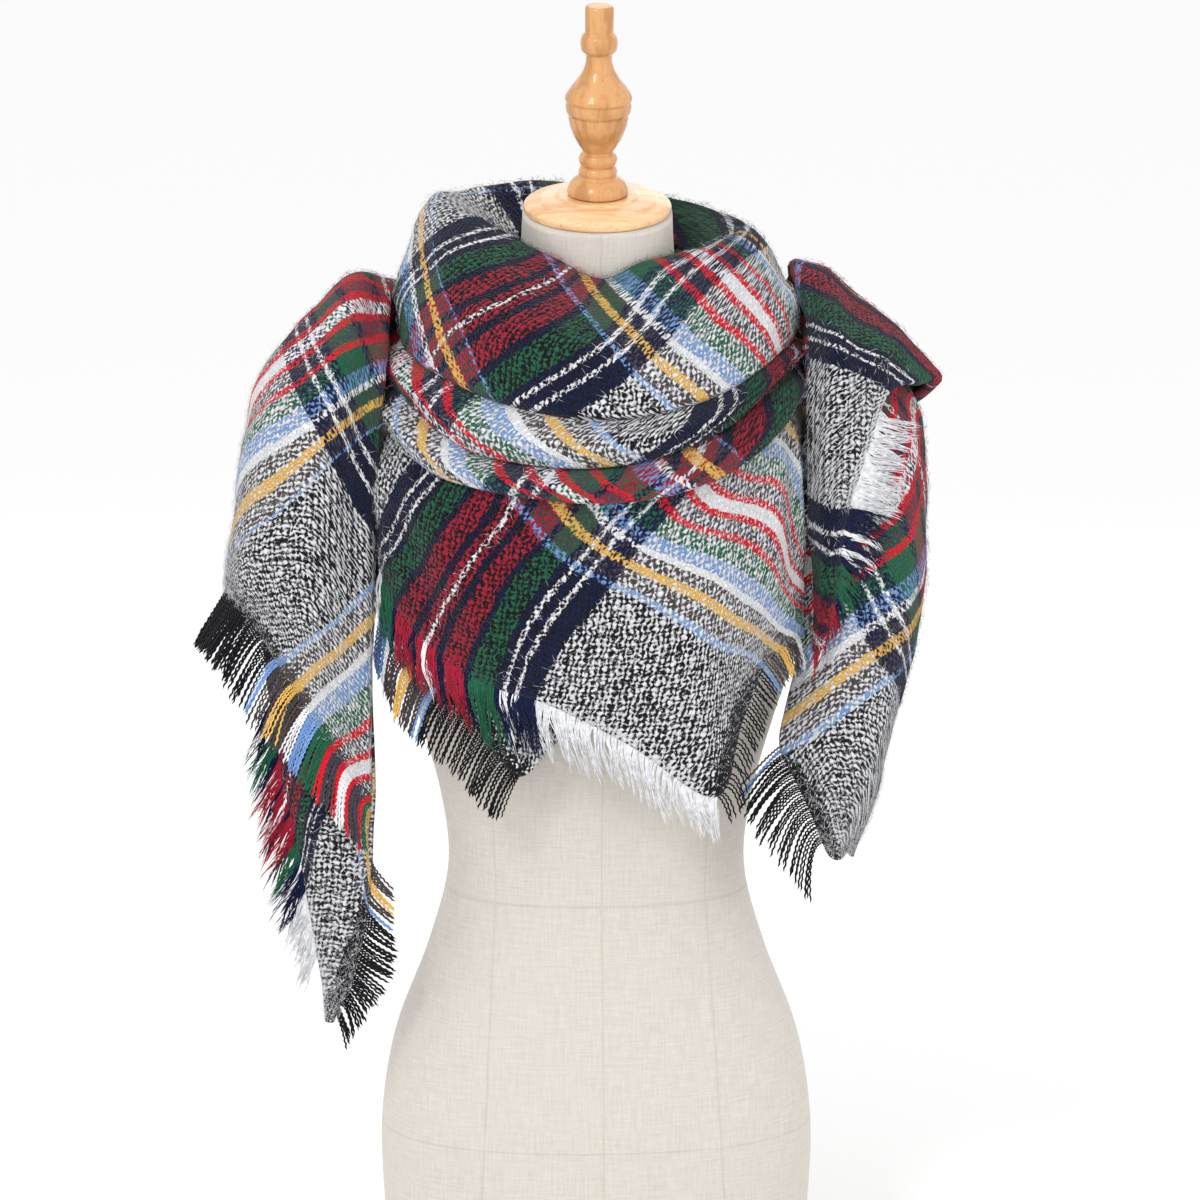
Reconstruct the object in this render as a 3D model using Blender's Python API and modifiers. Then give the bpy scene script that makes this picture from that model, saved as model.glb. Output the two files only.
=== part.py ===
"""Blanket scarf wound round a limbless dress form: the form, its wooden cap and finial, and the cloth.

Metres, +Z up, the front of the form towards -Y. The origin is the middle of the form's flat underside.
Tables are in millimetres. A scarf stretch is a net of places that the cloth passes through, a row for
each section, and a smooth curve runs through the rows and across them.
"""

import math
from collections import namedtuple

import bpy
import numpy as np
from mathutils import Vector

MM = 0.001
CLOTH = 3.0 * MM  # a brushed blanket cloth is about 3 mm thick with its nap
FRINGE = 2.0 * MM
SEAM_GAP = 0.3 * MM
FRINGE_GAP = 1.2 * MM  # more than a seam, because a strip's edge is chords of a curved hem
NECK_TILT = 11.0  # degrees that the top of the neck leans forward
NECK_TOP = Vector((0.0, -20.0, 845.0)) * MM
BODY_ROUNDNESS = 2.3  # 2 is an ellipse, and more is squarer

# Each section of the form: height, half its width, its reach to the front and to the back of a centre
# that lies shift behind the origin, and the forward tilt of the section in degrees.
BodyRow = namedtuple("BodyRow", "height half_width front back shift tilt")
BODY = [
    BodyRow(0, 158, 112, 118, 0, 0),
    BodyRow(8, 163, 115, 122, 0, 0),
    BodyRow(60, 166, 116, 124, 0, 0),
    BodyRow(130, 168, 114, 126, 0, 0),
    BodyRow(200, 157, 106, 118, 0, 0),
    BodyRow(270, 131, 94, 100, 0, 0),
    BodyRow(333, 115, 84, 86, 0, 0),
    BodyRow(390, 120, 90, 86, 0, 0),
    BodyRow(450, 136, 104, 92, 0, 0),
    BodyRow(510, 156, 118, 98, 0, 0),
    BodyRow(560, 170, 127, 102, 0, 0),
    BodyRow(610, 179, 121, 104, 0, 0),
    BodyRow(655, 180, 104, 98, 0, 0),
    BodyRow(690, 176, 88, 90, 0, 0),
    BodyRow(712, 156, 76, 82, 0, 0),
    BodyRow(730, 126, 68, 75, 0, 0),
    BodyRow(748, 97, 63, 68, -2, 0),
    BodyRow(766, 76, 60, 62, -6, 0),
    BodyRow(786, 64, 58, 58, -10, 0),
    BodyRow(812, 58.5, 57, 57, -15, 5),
    BodyRow(845, 56.5, 56.5, 56.5, -20, 11),
]

# Turned outlines, from the top of the outer side down: radius and height above the piece's own foot.
CAP_OUTLINE = [
    (0, 13.5), (30, 13.2), (31.5, 11.6), (44, 10.6), (46, 9.0), (53, 7.8), (56, 5.4), (56, 1.6),
    (54.6, 0), (0, 0),
]
FINIAL_OUTLINE = [
    (0, 146), (9.6, 146), (10.8, 144.6), (10.6, 125), (13.2, 122.6), (14.1, 117), (13.2, 111.4), (9.8, 109),
    (9.7, 103), (11.6, 96.5), (15.4, 90), (21.6, 82), (25.0, 76.5), (25.4, 74), (24.0, 72), (24.8, 69),
    (24.2, 64), (22.2, 62), (22.6, 60), (21.4, 53), (18.4, 45), (14, 37.5), (10.6, 32.6), (13.4, 31.2),
    (14.8, 27.4), (13.4, 23.4), (11.6, 22.4), (13.4, 21.2), (14.8, 17.4), (13.6, 13.8), (16.6, 12.6),
    (20.4, 9.4), (22.6, 5), (23.1, 1.2), (22.4, 0), (0, 0),
]

# The loop next to the neck, closed all round. Angles run from the front of the form towards +X, and a
# place is its distance from the origin's upright axis and its height.
LoopRow = namedtuple("LoopRow", "angle inner crest belly hem")
COWL_TOP = [
    LoopRow(0, (76, 787), (82, 797), (138, 760), (156, 712)),
    LoopRow(30, (77, 802), (86, 812), (142, 768), (158, 725)),
    LoopRow(60, (76, 808), (106, 823), (150, 791), (156, 749)),
    LoopRow(90, (74, 805), (116, 828), (148, 778), (149, 760)),
    LoopRow(120, (72, 812), (104, 838), (122, 800), (122, 762)),
    LoopRow(150, (72, 818), (90, 846), (106, 806), (106, 768)),
    LoopRow(180, (72, 822), (84, 852), (98, 812), (98, 772)),
    LoopRow(210, (72, 822), (94, 856), (108, 815), (108, 770)),
    LoopRow(240, (72, 820), (114, 852), (128, 812), (128, 768)),
    LoopRow(270, (72, 821), (120, 854), (150, 795), (149, 759)),
    LoopRow(300, (74, 822), (108, 841), (152, 793), (157, 743)),
    LoopRow(330, (77, 805), (92, 817), (146, 774), (158, 723)),
]

# The two rolls that show below that loop: the distance and height of each one's lower edge.
RollRow = namedtuple("RollRow", "angle mid low")
ROLLS = [
    RollRow(-94, (157, 736), (164, 725)),
    RollRow(-76, (164, 727), (174, 707)),
    RollRow(-62, (168, 716), (179, 688)),
    RollRow(-48, (168, 697), (176, 666)),
    RollRow(-34, (166, 681), (174, 657)),
    RollRow(-17, (165, 676), (173, 652)),
    RollRow(0, (165, 676), (172, 650)),
    RollRow(17, (166, 685), (173, 655)),
    RollRow(34, (167, 702), (176, 672)),
    RollRow(48, (166, 723), (176, 692)),
    RollRow(60, (163, 733), (170, 710)),
    RollRow(72, (158, 738), (158, 716)),
    RollRow(82, (156, 737), (156, 715)),
]
ROLL_TUCK = (18, 5)  # how far behind and above the edge over it a roll starts
ROLL_CREASE = (11, -2)  # where it passes that edge
ROLL_BELLY = (3, 0.42)  # how far it swells past its own edge, and at what share of its height

# The band that crosses behind the neck.
NAPE = [
    LoopRow(107, (143, 806), (150, 807), (156, 796), (157, 784)),
    LoopRow(118, (136, 815), (143, 819), (154, 800), (156, 778)),
    LoopRow(134, (128, 820), (134, 829), (150, 802), (155, 768)),
    LoopRow(154, (120, 824), (124, 831), (142, 804), (152, 755)),
    LoopRow(180, (116, 820), (120, 838), (136, 802), (148, 748)),
    LoopRow(204, (124, 812), (130, 826), (146, 794), (154, 752)),
    LoopRow(224, (140, 800), (146, 808), (156, 786), (160, 764)),
]

# The two corners that hang in front, left to right: places under the rolls, halfway and at the edge.
BibRow = namedtuple("BibRow", "chest waist hem")
BIB_FRONT = [
    BibRow((-171, -74, 658), (-170, -80, 624), (-170, -78, 596)),
    BibRow((-157, -104, 646), (-156, -106, 598), (-152, -104, 555)),
    BibRow((-130, -124, 626), (-125, -128, 576), (-119, -126, 524)),
    BibRow((-99, -140, 615), (-92, -142, 559), (-81, -138, 503)),
    BibRow((-62, -148, 610), (-54, -150, 549), (-43, -146, 492)),
    BibRow((-11, -152, 608), (1, -154, 530), (18, -148, 460)),
    BibRow((39, -152, 609), (58, -150, 514), (82, -142, 419)),
    BibRow((78, -144, 620), (91, -144, 542), (102, -138, 475)),
    BibRow((109, -130, 640), (116, -132, 571), (119, -128, 514)),
    BibRow((131, -114, 662), (135, -116, 591), (139, -112, 529)),
    BibRow((148, -92, 673), (151, -94, 609), (152, -92, 532)),
]
BIB_BACK = [
    BibRow((-169, -68, 634), (-169, -68, 588), (-168, -68, 543)),
    BibRow((-153, -90, 622), (-152, -92, 561), (-149, -92, 509)),
    BibRow((-130, -109, 618), (-127, -111, 542), (-123, -110, 487)),
    BibRow((-99, -124, 597), (-96, -126, 522), (-92, -123, 463)),
    BibRow((-72, -134, 584), (-68, -136, 501), (-64, -132, 434)),
    BibRow((-45, -138, 584), (-42, -138, 516), (-34, -134, 462)),
    BibRow((-1, -140, 599), (5, -140, 539), (12, -136, 492)),
]
BIB_RISE = 6  # how far above the low roll's edge both corners start
FRONT_TUCK = 12  # and how far behind it
BACK_TUCK = 21

# The ends: sections from behind the neck, over a shoulder and down the front, each from the edge by the
# body outwards and round to the back.
EndRow = namedtuple("EndRow", "inner front outer side back")
TAIL_LEFT = [
    EndRow((60, 104, 748), (62, 110, 722), (64, 114, 694), (66, 114, 660), (68, 112, 630)),
    EndRow((-30, 110, 754), (-32, 116, 722), (-34, 120, 690), (-36, 120, 650), (-38, 117, 610)),
    EndRow((-104, 94, 766), (-122, 102, 738), (-140, 106, 694), (-158, 100, 640), (-170, 92, 600)),
    EndRow((-144, 54, 782), (-176, 60, 766), (-208, 62, 722), (-232, 60, 650), (-236, 66, 600)),
    EndRow((-160, 0, 786), (-192, 0, 790), (-232, 2, 750), (-260, 12, 690), (-262, 52, 620)),
    EndRow((-166, -66, 747), (-199, -70, 752), (-240, -56, 727), (-267, -12, 671), (-264, 36, 625)),
    EndRow((-172, -88, 690), (-214, -98, 692), (-254, -76, 678), (-273, -24, 642), (-262, 24, 615)),
    EndRow((-176, -92, 623), (-223, -102, 621), (-266, -76, 609), (-279, -28, 593), (-262, 14, 590)),
    EndRow((-178, -94, 532), (-227, -104, 561), (-272, -72, 584), (-281, -30, 576), (-266, 4, 578)),
    EndRow((-177, -94, 451), (-224, -102, 517), (-270, -70, 564), (-282, -32, 567), (-270, -2, 572)),
    EndRow((-176, -92, 403), (-220, -100, 475), (-267, -68, 550), (-283, -33, 561), (-272, -10, 570)),
]
TAIL_RIGHT = [
    EndRow((-60, 126, 746), (-62, 132, 716), (-64, 134, 684), (-66, 132, 650), (-68, 128, 618)),
    EndRow((30, 124, 758), (32, 132, 724), (34, 134, 688), (36, 132, 646), (38, 128, 600)),
    EndRow((100, 104, 768), (118, 112, 736), (136, 114, 692), (154, 108, 636), (166, 98, 594)),
    EndRow((146, 58, 772), (170, 64, 754), (200, 66, 712), (224, 62, 650), (230, 66, 600)),
    EndRow((162, 0, 780), (192, 0, 768), (226, 0, 726), (250, 12, 676), (254, 50, 616)),
    EndRow((160, -62, 744), (184, -68, 743), (220, -54, 716), (248, -12, 674), (254, 34, 616)),
    EndRow((156, -77, 670), (186, -88, 672), (228, -70, 662), (252, -20, 641), (252, 22, 600)),
    EndRow((154, -80, 587), (185, -92, 589), (229, -72, 583), (252, -22, 563), (250, 14, 560)),
    EndRow((149, -84, 511), (183, -98, 517), (223, -76, 517), (243, -28, 507), (240, 4, 520)),
    EndRow((135, -96, 453), (173, -106, 467), (212, -82, 469), (230, -38, 465), (228, -12, 470)),
    EndRow((145, -102, 425), (173, -108, 426), (200, -90, 422), (215, -54, 414), (216, -34, 414)),
    EndRow((158, -104, 398), (174, -106, 394), (190, -94, 390), (203, -68, 382), (205, -54, 380)),
    EndRow((170, -100, 368), (174, -100, 360), (180, -94, 358), (186, -84, 361), (192, -76, 355)),
]

# The layer below the left end, and the one folded over the right end.
LayerRow = namedtuple("LayerRow", "inner front outer side")
TAIL_LEFT_UNDER = [
    LayerRow((-174, -74, 589), (-204, -84, 591), (-234, -84, 591), (-258, -58, 587)),
    LayerRow((-174, -76, 497), (-201, -86, 499), (-228, -86, 500), (-252, -60, 494)),
    LayerRow((-172, -78, 420), (-198, -88, 419), (-223, -88, 419), (-241, -66, 418)),
    LayerRow((-175, -80, 358), (-194, -89, 359), (-213, -88, 359), (-229, -70, 360)),
    LayerRow((-181, -82, 304), (-195, -88, 306), (-209, -87, 307), (-221, -74, 309)),
    LayerRow((-192, -82, 265), (-200, -86, 264), (-208, -85, 266), (-214, -76, 267)),
    LayerRow((-206, -82, 233), (-207, -83, 232), (-209, -82, 232), (-210, -80, 232)),
]
TAIL_RIGHT_FOLD = [
    LayerRow((-20, 156, 744), (-21, 160, 722), (-22, 161, 698), (-22, 158, 668)),
    LayerRow((56, 148, 752), (60, 154, 728), (68, 156, 698), (76, 152, 662)),
    LayerRow((116, 116, 762), (134, 124, 742), (160, 126, 706), (188, 112, 668)),
    LayerRow((154, 66, 779), (180, 74, 768), (212, 76, 730), (244, 62, 688)),
    LayerRow((156, 0, 803), (188, 0, 788), (226, -8, 754), (261, -14, 718)),
    LayerRow((159, -72, 761), (180, -86, 759), (213, -76, 744), (244, -50, 720)),
    LayerRow((156, -84, 713), (176, -98, 715), (197, -96, 715), (214, -84, 714)),
    LayerRow((156, -90, 665), (168, -104, 666), (182, -104, 665), (195, -96, 663)),
    LayerRow((156, -92, 621), (165, -105, 623), (174, -106, 625), (183, -100, 627)),
    LayerRow((160, -100, 568), (164, -109, 568), (169, -110, 568), (175, -106, 568)),
    LayerRow((158, -106, 523), (159, -111, 522), (161, -112, 522), (164, -111, 524)),
]

# Fringes: the stretch and the edge of it that each one hangs from, the share of that edge where it
# starts and ends, and the reach of its strands at the start, the middle and the end.
FringeRow = namedtuple("FringeRow", "name stretch edge start end first middle last")
FRINGES = [
    FringeRow("fringe_bib_hem", "bib_front", "last_column", 0.0, 0.6,
              (-4, -3, -40), (8, -3, -46), (4, -2, -34)),
    FringeRow("fringe_bib_side", "bib_front", "last_column", 0.6, 0.97,
              (12, 0, -20), (16, 2, -18), (6, 4, -26)),
    FringeRow("fringe_bib_back", "bib_back", "last_column", 0.0, 0.667,
              (-4, -1, -34), (-16, 0, -34), (-18, 0, -34)),
    FringeRow("fringe_tail_left", "tail_left", "last_row", 0.0, 0.75,
              (-3, -4, -38), (-28, -4, -38), (-24, 0, -40)),
    FringeRow("fringe_under_left", "tail_left_under", "last_column", 0.2, 0.75,
              (-22, -3, -34), (-24, -3, -36), (-12, -3, -32)),
    FringeRow("fringe_under_right", "tail_left_under", "first_column", 0.5, 0.97,
              (16, -2, -22), (28, -3, -16), (8, -3, -26)),
    FringeRow("fringe_tail_right", "tail_right", "first_column", 0.76, 0.99,
              (-34, -4, -34), (-34, -4, -36), (-12, -4, -44)),
    FringeRow("fringe_right_fold", "tail_right_fold", "last_column", 0.63, 0.88,
              (30, 6, -10), (42, 10, -12), (16, 0, -32)),
]
FRINGE_STEPS = 16

WEAVE = ((0.30, 0.30, 0.36, 1.0), 0.92, 0.0)
LINEN = ((0.80, 0.77, 0.72, 1.0), 0.85, 0.0)
WOOD = ((0.70, 0.38, 0.16, 1.0), 0.28, 0.0)


def clear_scene():
    for thing in list(bpy.data.objects):
        bpy.data.objects.remove(thing, do_unlink=True)


def collection(name):
    made = bpy.data.collections.new(name)
    bpy.context.scene.collection.children.link(made)
    return made


def material(name, finish):
    colour, roughness, metallic = finish
    made = bpy.data.materials.new(name)
    made.use_nodes = True
    shader = made.node_tree.nodes["Principled BSDF"]
    shader.inputs["Base Color"].default_value = colour
    shader.inputs["Roughness"].default_value = roughness
    shader.inputs["Metallic"].default_value = metallic
    return made


def make_object(name, points, faces, finish, group):
    mesh = bpy.data.meshes.new(name)
    mesh.from_pydata([tuple(p) for p in points], [], faces)
    mesh.shade_smooth()
    made = bpy.data.objects.new(name, mesh)
    group.objects.link(made)
    made.data.materials.append(material(name, finish))
    return made


def smooth_curve(places, count, closed):
    """Points of a Catmull-Rom curve through places, which may be a row of sections."""
    places = np.asarray(places, float)
    spans = len(places) if closed else len(places) - 1
    at = np.linspace(0, spans, count, endpoint=not closed)
    first = np.minimum(at.astype(int), spans - 1)
    part = (at - first).reshape((-1,) + (1,) * (places.ndim - 1))
    if not closed:
        before = 2 * places[0] - places[1]
        after = 2 * places[-1] - places[-2]
        places = np.concatenate([[before], places, [after]])
        first = first + 1
    a, b, c, d = (places[(first + step) % len(places)] for step in (-1, 0, 1, 2))
    bend = -a + 3 * b - 3 * c + d
    pull = 2 * a - 5 * b + 4 * c - d
    return 0.5 * (2 * b + (c - a) * part + pull * part**2 + bend * part**3)


def smooth_surface(net, rows, columns, closed=False):
    """The net's smooth surface in metres, as an array of rows, columns and x, y, z."""
    lengthways = smooth_curve(net, rows, closed)
    across = smooth_curve(np.swapaxes(lengthways, 0, 1), columns, False)
    return np.swapaxes(across, 0, 1) * MM


def polar(angle, distance, height):
    turn = math.radians(angle)
    return (distance * math.sin(turn), -distance * math.cos(turn), height)


def loop_net(table):
    return [[polar(row.angle, *place) for place in row[1:]] for row in table]


def edge_at(places, angle):
    """Distance and height at an angle of an edge given as (angle, distance, height) places."""
    angles, distances, heights = zip(*sorted(places))
    return np.interp(angle, angles, distances), np.interp(angle, angles, heights)


def roll_net(edge, edge_above):
    """A roll that is tucked behind the edge above it, swells, and turns in at its own edge."""
    net = []
    for angle, distance, height in edge:
        far, high = edge_at(edge_above, angle)
        swell = max(distance, far - 4) + ROLL_BELLY[0]
        net.append([
            polar(angle, far - ROLL_TUCK[0], high + ROLL_TUCK[1]),
            polar(angle, far - ROLL_CREASE[0], high + ROLL_CREASE[1]),
            polar(angle, swell, height + ROLL_BELLY[1] * (high - height)),
            polar(angle, distance, height),
        ])
    return net


def bib_net(table, low_edge, tuck):
    """A hanging corner, which starts behind the low roll's edge."""
    net = []
    for row in table:
        angle = math.degrees(math.atan2(row.chest[0], -row.chest[1]))
        distance, height = edge_at(low_edge, angle)
        net.append([polar(angle, distance - tuck, height + BIB_RISE), row.chest, row.waist, row.hem])
    return net


def scarf_nets():
    """Each stretch's net, how many rows and columns it is faceted into, and whether it closes."""
    top_edge = [(row.angle - 360 * (row.angle > 180), *row.hem) for row in COWL_TOP]
    top_edge.append((-180, *COWL_TOP[6].hem))
    mid_edge = [(row.angle, *row.mid) for row in ROLLS]
    low_edge = [(row.angle, *row.low) for row in ROLLS]
    return {
        "cowl_top": (loop_net(COWL_TOP), 48, 9, True),
        "cowl_mid": (roll_net(mid_edge, top_edge), 27, 7, False),
        "cowl_low": (roll_net(low_edge, mid_edge), 27, 7, False),
        "nape_band": (loop_net(NAPE), 18, 7, False),
        "bib_front": (bib_net(BIB_FRONT, low_edge, FRONT_TUCK), 31, 9, False),
        "bib_back": (bib_net(BIB_BACK, low_edge, BACK_TUCK), 19, 8, False),
        "tail_left": ([list(row) for row in TAIL_LEFT], 24, 11, False),
        "tail_left_under": ([list(row) for row in TAIL_LEFT_UNDER], 16, 7, False),
        "tail_right": ([list(row) for row in TAIL_RIGHT], 28, 11, False),
        "tail_right_fold": ([list(row) for row in TAIL_RIGHT_FOLD], 24, 7, False),
    }


def loft(name, grid, closed, thickness, finish, group):
    """A shell of even thickness on a grid of points."""
    rows, columns = grid.shape[:2]
    spans = rows if closed else rows - 1
    faces = []
    for row in range(spans):
        following = (row + 1) % rows
        for column in range(columns - 1):
            here, there = row * columns + column, following * columns + column
            faces.append((here, here + 1, there + 1, there))
    made = make_object(name, grid.reshape(-1, 3), faces, finish, group)
    wall = made.modifiers.new("wall", "SOLIDIFY")
    wall.thickness = thickness
    wall.offset = 0.0
    return made


def edge_points(grid, edge):
    return {"last_column": grid[:, -1], "first_column": grid[:, 0], "last_row": grid[-1]}[edge]


def make_fringe(row, net, closed, group):
    """A thin strip that fills the reach of the strands along part of an edge."""
    fine = smooth_surface(net, 201, 201, closed)
    edge = edge_points(fine, row.edge)
    picks = np.linspace(row.start, row.end, FRINGE_STEPS) * (len(edge) - 1)
    rim = edge[np.rint(picks).astype(int)]
    share = np.linspace(0, 1, FRINGE_STEPS)
    reaches = np.array([row.first, row.middle, row.last], float) * MM
    reach = np.stack([np.interp(share, (0, 0.5, 1), reaches[:, axis]) for axis in range(3)], axis=1)
    along = np.gradient(rim, axis=0)
    along /= np.linalg.norm(along, axis=1, keepdims=True)
    square = reach - along * (reach * along).sum(axis=1, keepdims=True)
    square /= np.linalg.norm(square, axis=1, keepdims=True)
    root = rim + square * (0.5 * FRINGE + FRINGE_GAP)
    grid = np.stack([root, root + reach], axis=1)
    return loft(row.name, grid, False, FRINGE, WEAVE, group)


def make_scarf(group):
    nets = scarf_nets()
    for name, (net, rows, columns, closed) in nets.items():
        loft(name, smooth_surface(net, rows, columns, closed), closed, CLOTH, WEAVE, group)
    for row in FRINGES:
        net, _, _, closed = nets[row.stretch]
        make_fringe(row, net, closed, group)


def body_section(row, sides):
    points = []
    for step in range(sides):
        turn = 2 * math.pi * step / sides
        across, deep = math.sin(turn), -math.cos(turn)
        power = 2 / BODY_ROUNDNESS
        x = math.copysign(abs(across) ** power, across) * row.half_width
        y = math.copysign(abs(deep) ** power, deep) * (row.front if deep < 0 else row.back)
        z = row.height + y * math.tan(math.radians(row.tilt))
        points.append(Vector((x, y + row.shift, z)) * MM)
    return points


def make_body(group, sides=56, levels=49):
    rows = [BodyRow(*values) for values in smooth_curve(BODY, levels, False)]
    points = [point for row in rows for point in body_section(row, sides)]
    faces = [tuple(reversed(range(sides)))]
    for level in range(levels - 1):
        for step in range(sides):
            here, beside = level * sides + step, level * sides + (step + 1) % sides
            faces.append((here, beside, beside + sides, here + sides))
    top = (levels - 1) * sides
    faces.append(tuple(range(top, top + sides)))
    return make_object("form_body", points, faces, LINEN, group)


def make_turned(name, outline, height, group, steps=32):
    """A piece turned from its outline, standing on the tilted neck at a height above it."""
    points = [(radius * MM, 0.0, level * MM) for radius, level in outline]
    mesh = bpy.data.meshes.new(name)
    mesh.from_pydata(points, [(i, i + 1) for i in range(len(points) - 1)], [])
    made = bpy.data.objects.new(name, mesh)
    group.objects.link(made)
    screw = made.modifiers.new("turning", "SCREW")
    screw.steps = steps
    screw.render_steps = steps
    screw.use_merge_vertices = True
    screw.merge_threshold = 0.00001
    screw.use_smooth_shade = True
    made.data.materials.append(material(name, WOOD))
    tilt = math.radians(NECK_TILT)
    made.rotation_euler = (tilt, 0.0, 0.0)
    up = Vector((0.0, -math.sin(tilt), math.cos(tilt)))
    made.location = NECK_TOP + up * height
    return made


def main():
    clear_scene()
    group = collection("blanket_scarf_on_form")
    make_body(group)
    cap_height = max(level for _, level in CAP_OUTLINE) * MM
    make_turned("neck_cap", CAP_OUTLINE, SEAM_GAP, group)
    make_turned("finial", FINIAL_OUTLINE, cap_height + 2 * SEAM_GAP, group)
    make_scarf(group)


main()
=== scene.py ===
"""Blanket scarf wound round a limbless dress form: its woven cloth, fringes and nap, and the form's finish.

Metres, +Z up, the front of the form towards -Y. The tables are in millimetres. Those of the shape repeat
the part's own, so each soft piece lies on the form of the solid that it replaces, with two exceptions: the
ends of NAPE are tucked in behind the loop, and fringe_right_fold reaches further along its edge.
"""

import math
from collections import namedtuple

import bmesh
import bpy
import numpy as np
from mathutils import Matrix, Vector


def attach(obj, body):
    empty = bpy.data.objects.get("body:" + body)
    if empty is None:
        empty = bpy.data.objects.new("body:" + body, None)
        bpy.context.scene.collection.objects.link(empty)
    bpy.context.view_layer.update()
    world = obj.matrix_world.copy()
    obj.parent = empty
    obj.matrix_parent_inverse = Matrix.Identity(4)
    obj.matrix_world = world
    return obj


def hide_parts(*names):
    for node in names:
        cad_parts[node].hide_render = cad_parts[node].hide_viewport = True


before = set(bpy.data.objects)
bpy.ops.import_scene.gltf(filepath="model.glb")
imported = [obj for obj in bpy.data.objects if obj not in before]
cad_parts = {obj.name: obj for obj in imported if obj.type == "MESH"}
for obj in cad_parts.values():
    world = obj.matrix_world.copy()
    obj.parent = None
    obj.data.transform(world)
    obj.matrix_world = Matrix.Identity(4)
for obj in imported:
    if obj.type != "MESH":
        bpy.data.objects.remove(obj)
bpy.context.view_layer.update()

MM = 0.001
UP = Vector((0, 0, 1))

# Camera: degrees round from the front, degrees up, and metres from the point that it looks at.
CAMERA_TURN = -3.0
CAMERA_RISE = 11.0
CAMERA_DISTANCE = 4.0
CAMERA_TARGET = Vector((0.003, 0.0, 0.542))
CAMERA_WIDTH = 0.924  # metres across the view at the target
SENSOR = 36.0

CLOTH = 2.4 * MM
GRID_PITCH = 4.0  # millimetres between the cloth's grid lines
NECK_TILT = 11.0  # degrees that the top of the neck leans forward
NECK_TOP = Vector((0.0, -20.0, 845.0)) * MM
BODY_ROUNDNESS = 2.3  # 2 is an ellipse, and more is squarer
SEAM_GAP = 0.3 * MM

# Each level of the form: its height, half its width, its reach to the front and to the back of a centre
# that lies shift behind the origin, and its rise towards the back in degrees.
BodyRow = namedtuple("BodyRow", "height half_width front back shift tilt")
BODY = [
    (0, 158, 112, 118, 0, 0), (8, 163, 115, 122, 0, 0), (60, 166, 116, 124, 0, 0), (130, 168, 114, 126, 0, 0),
    (200, 157, 106, 118, 0, 0), (270, 131, 94, 100, 0, 0), (333, 115, 84, 86, 0, 0), (390, 120, 90, 86, 0, 0),
    (450, 136, 104, 92, 0, 0), (510, 156, 118, 98, 0, 0), (560, 170, 127, 102, 0, 0),
    (610, 179, 121, 104, 0, 0), (655, 180, 104, 98, 0, 0), (690, 176, 88, 90, 0, 0), (712, 156, 76, 82, 0, 0),
    (730, 126, 68, 75, 0, 0), (748, 97, 63, 68, -2, 0), (766, 76, 60, 62, -6, 0), (786, 64, 58, 58, -10, 0),
    (812, 58.5, 57, 57, -15, 5), (845, 56.5, 56.5, 56.5, -20, 11),
]

# Turned outlines, from the top of the outer side down: radius and height above the piece's own foot.
CAP_OUTLINE = [
    (0, 13.5), (30, 13.2), (31.5, 11.6), (44, 10.6), (46, 9.0), (53, 7.8), (56, 5.4), (56, 1.6),
    (54.6, 0), (0, 0),
]
FINIAL_OUTLINE = [
    (0, 146), (9.6, 146), (10.8, 144.6), (10.6, 125), (13.2, 122.6), (14.1, 117), (13.2, 111.4), (9.8, 109),
    (9.7, 103), (11.6, 96.5), (15.4, 90), (21.6, 82), (25.0, 76.5), (25.4, 74), (24.0, 72), (24.8, 69),
    (24.2, 64), (22.2, 62), (22.6, 60), (21.4, 53), (18.4, 45), (14, 37.5), (10.6, 32.6), (13.4, 31.2),
    (14.8, 27.4), (13.4, 23.4), (11.6, 22.4), (13.4, 21.2), (14.8, 17.4), (13.6, 13.8), (16.6, 12.6),
    (20.4, 9.4), (22.6, 5), (23.1, 1.2), (22.4, 0), (0, 0),
]

# The loop next to the neck, closed all round: an angle, then places from the inside over the crest to the
# hem. Angles run from the front of the form towards +X, and a place is its distance from the origin's
# upright axis and its height.
COWL_TOP = [
    (0, (76, 787), (82, 797), (138, 760), (156, 712)), (30, (77, 802), (86, 812), (142, 768), (158, 725)),
    (60, (76, 808), (106, 823), (150, 791), (156, 749)), (90, (74, 805), (116, 828), (148, 778), (149, 760)),
    (120, (72, 812), (104, 838), (122, 800), (122, 762)), (150, (72, 818), (90, 846), (106, 806), (106, 768)),
    (180, (72, 822), (84, 852), (98, 812), (98, 772)), (210, (72, 822), (94, 856), (108, 815), (108, 770)),
    (240, (72, 820), (114, 852), (128, 812), (128, 768)),
    (270, (72, 821), (120, 854), (150, 795), (149, 759)),
    (300, (74, 822), (108, 841), (152, 793), (157, 743)), (330, (77, 805), (92, 817), (146, 774), (158, 723)),
]

# The two rolls that show below that loop: an angle, then the distance and height of each one's lower edge.
ROLLS = [
    (-94, (157, 736), (164, 725)), (-76, (164, 727), (174, 707)), (-62, (168, 716), (179, 688)),
    (-48, (168, 697), (176, 666)), (-34, (166, 681), (174, 657)), (-17, (165, 676), (173, 652)),
    (0, (165, 676), (172, 650)), (17, (166, 685), (173, 655)), (34, (167, 702), (176, 672)),
    (48, (166, 723), (176, 692)), (60, (163, 733), (170, 710)), (72, (158, 738), (158, 716)),
    (82, (156, 737), (156, 715)),
]
ROLL_TUCK = (18, 5)  # how far behind and above the edge over it a roll starts
ROLL_CREASE = (11, -2)  # where it passes that edge
ROLL_BELLY = (3, 0.42)  # how far it swells past its own edge, and at what share of its height

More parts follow.
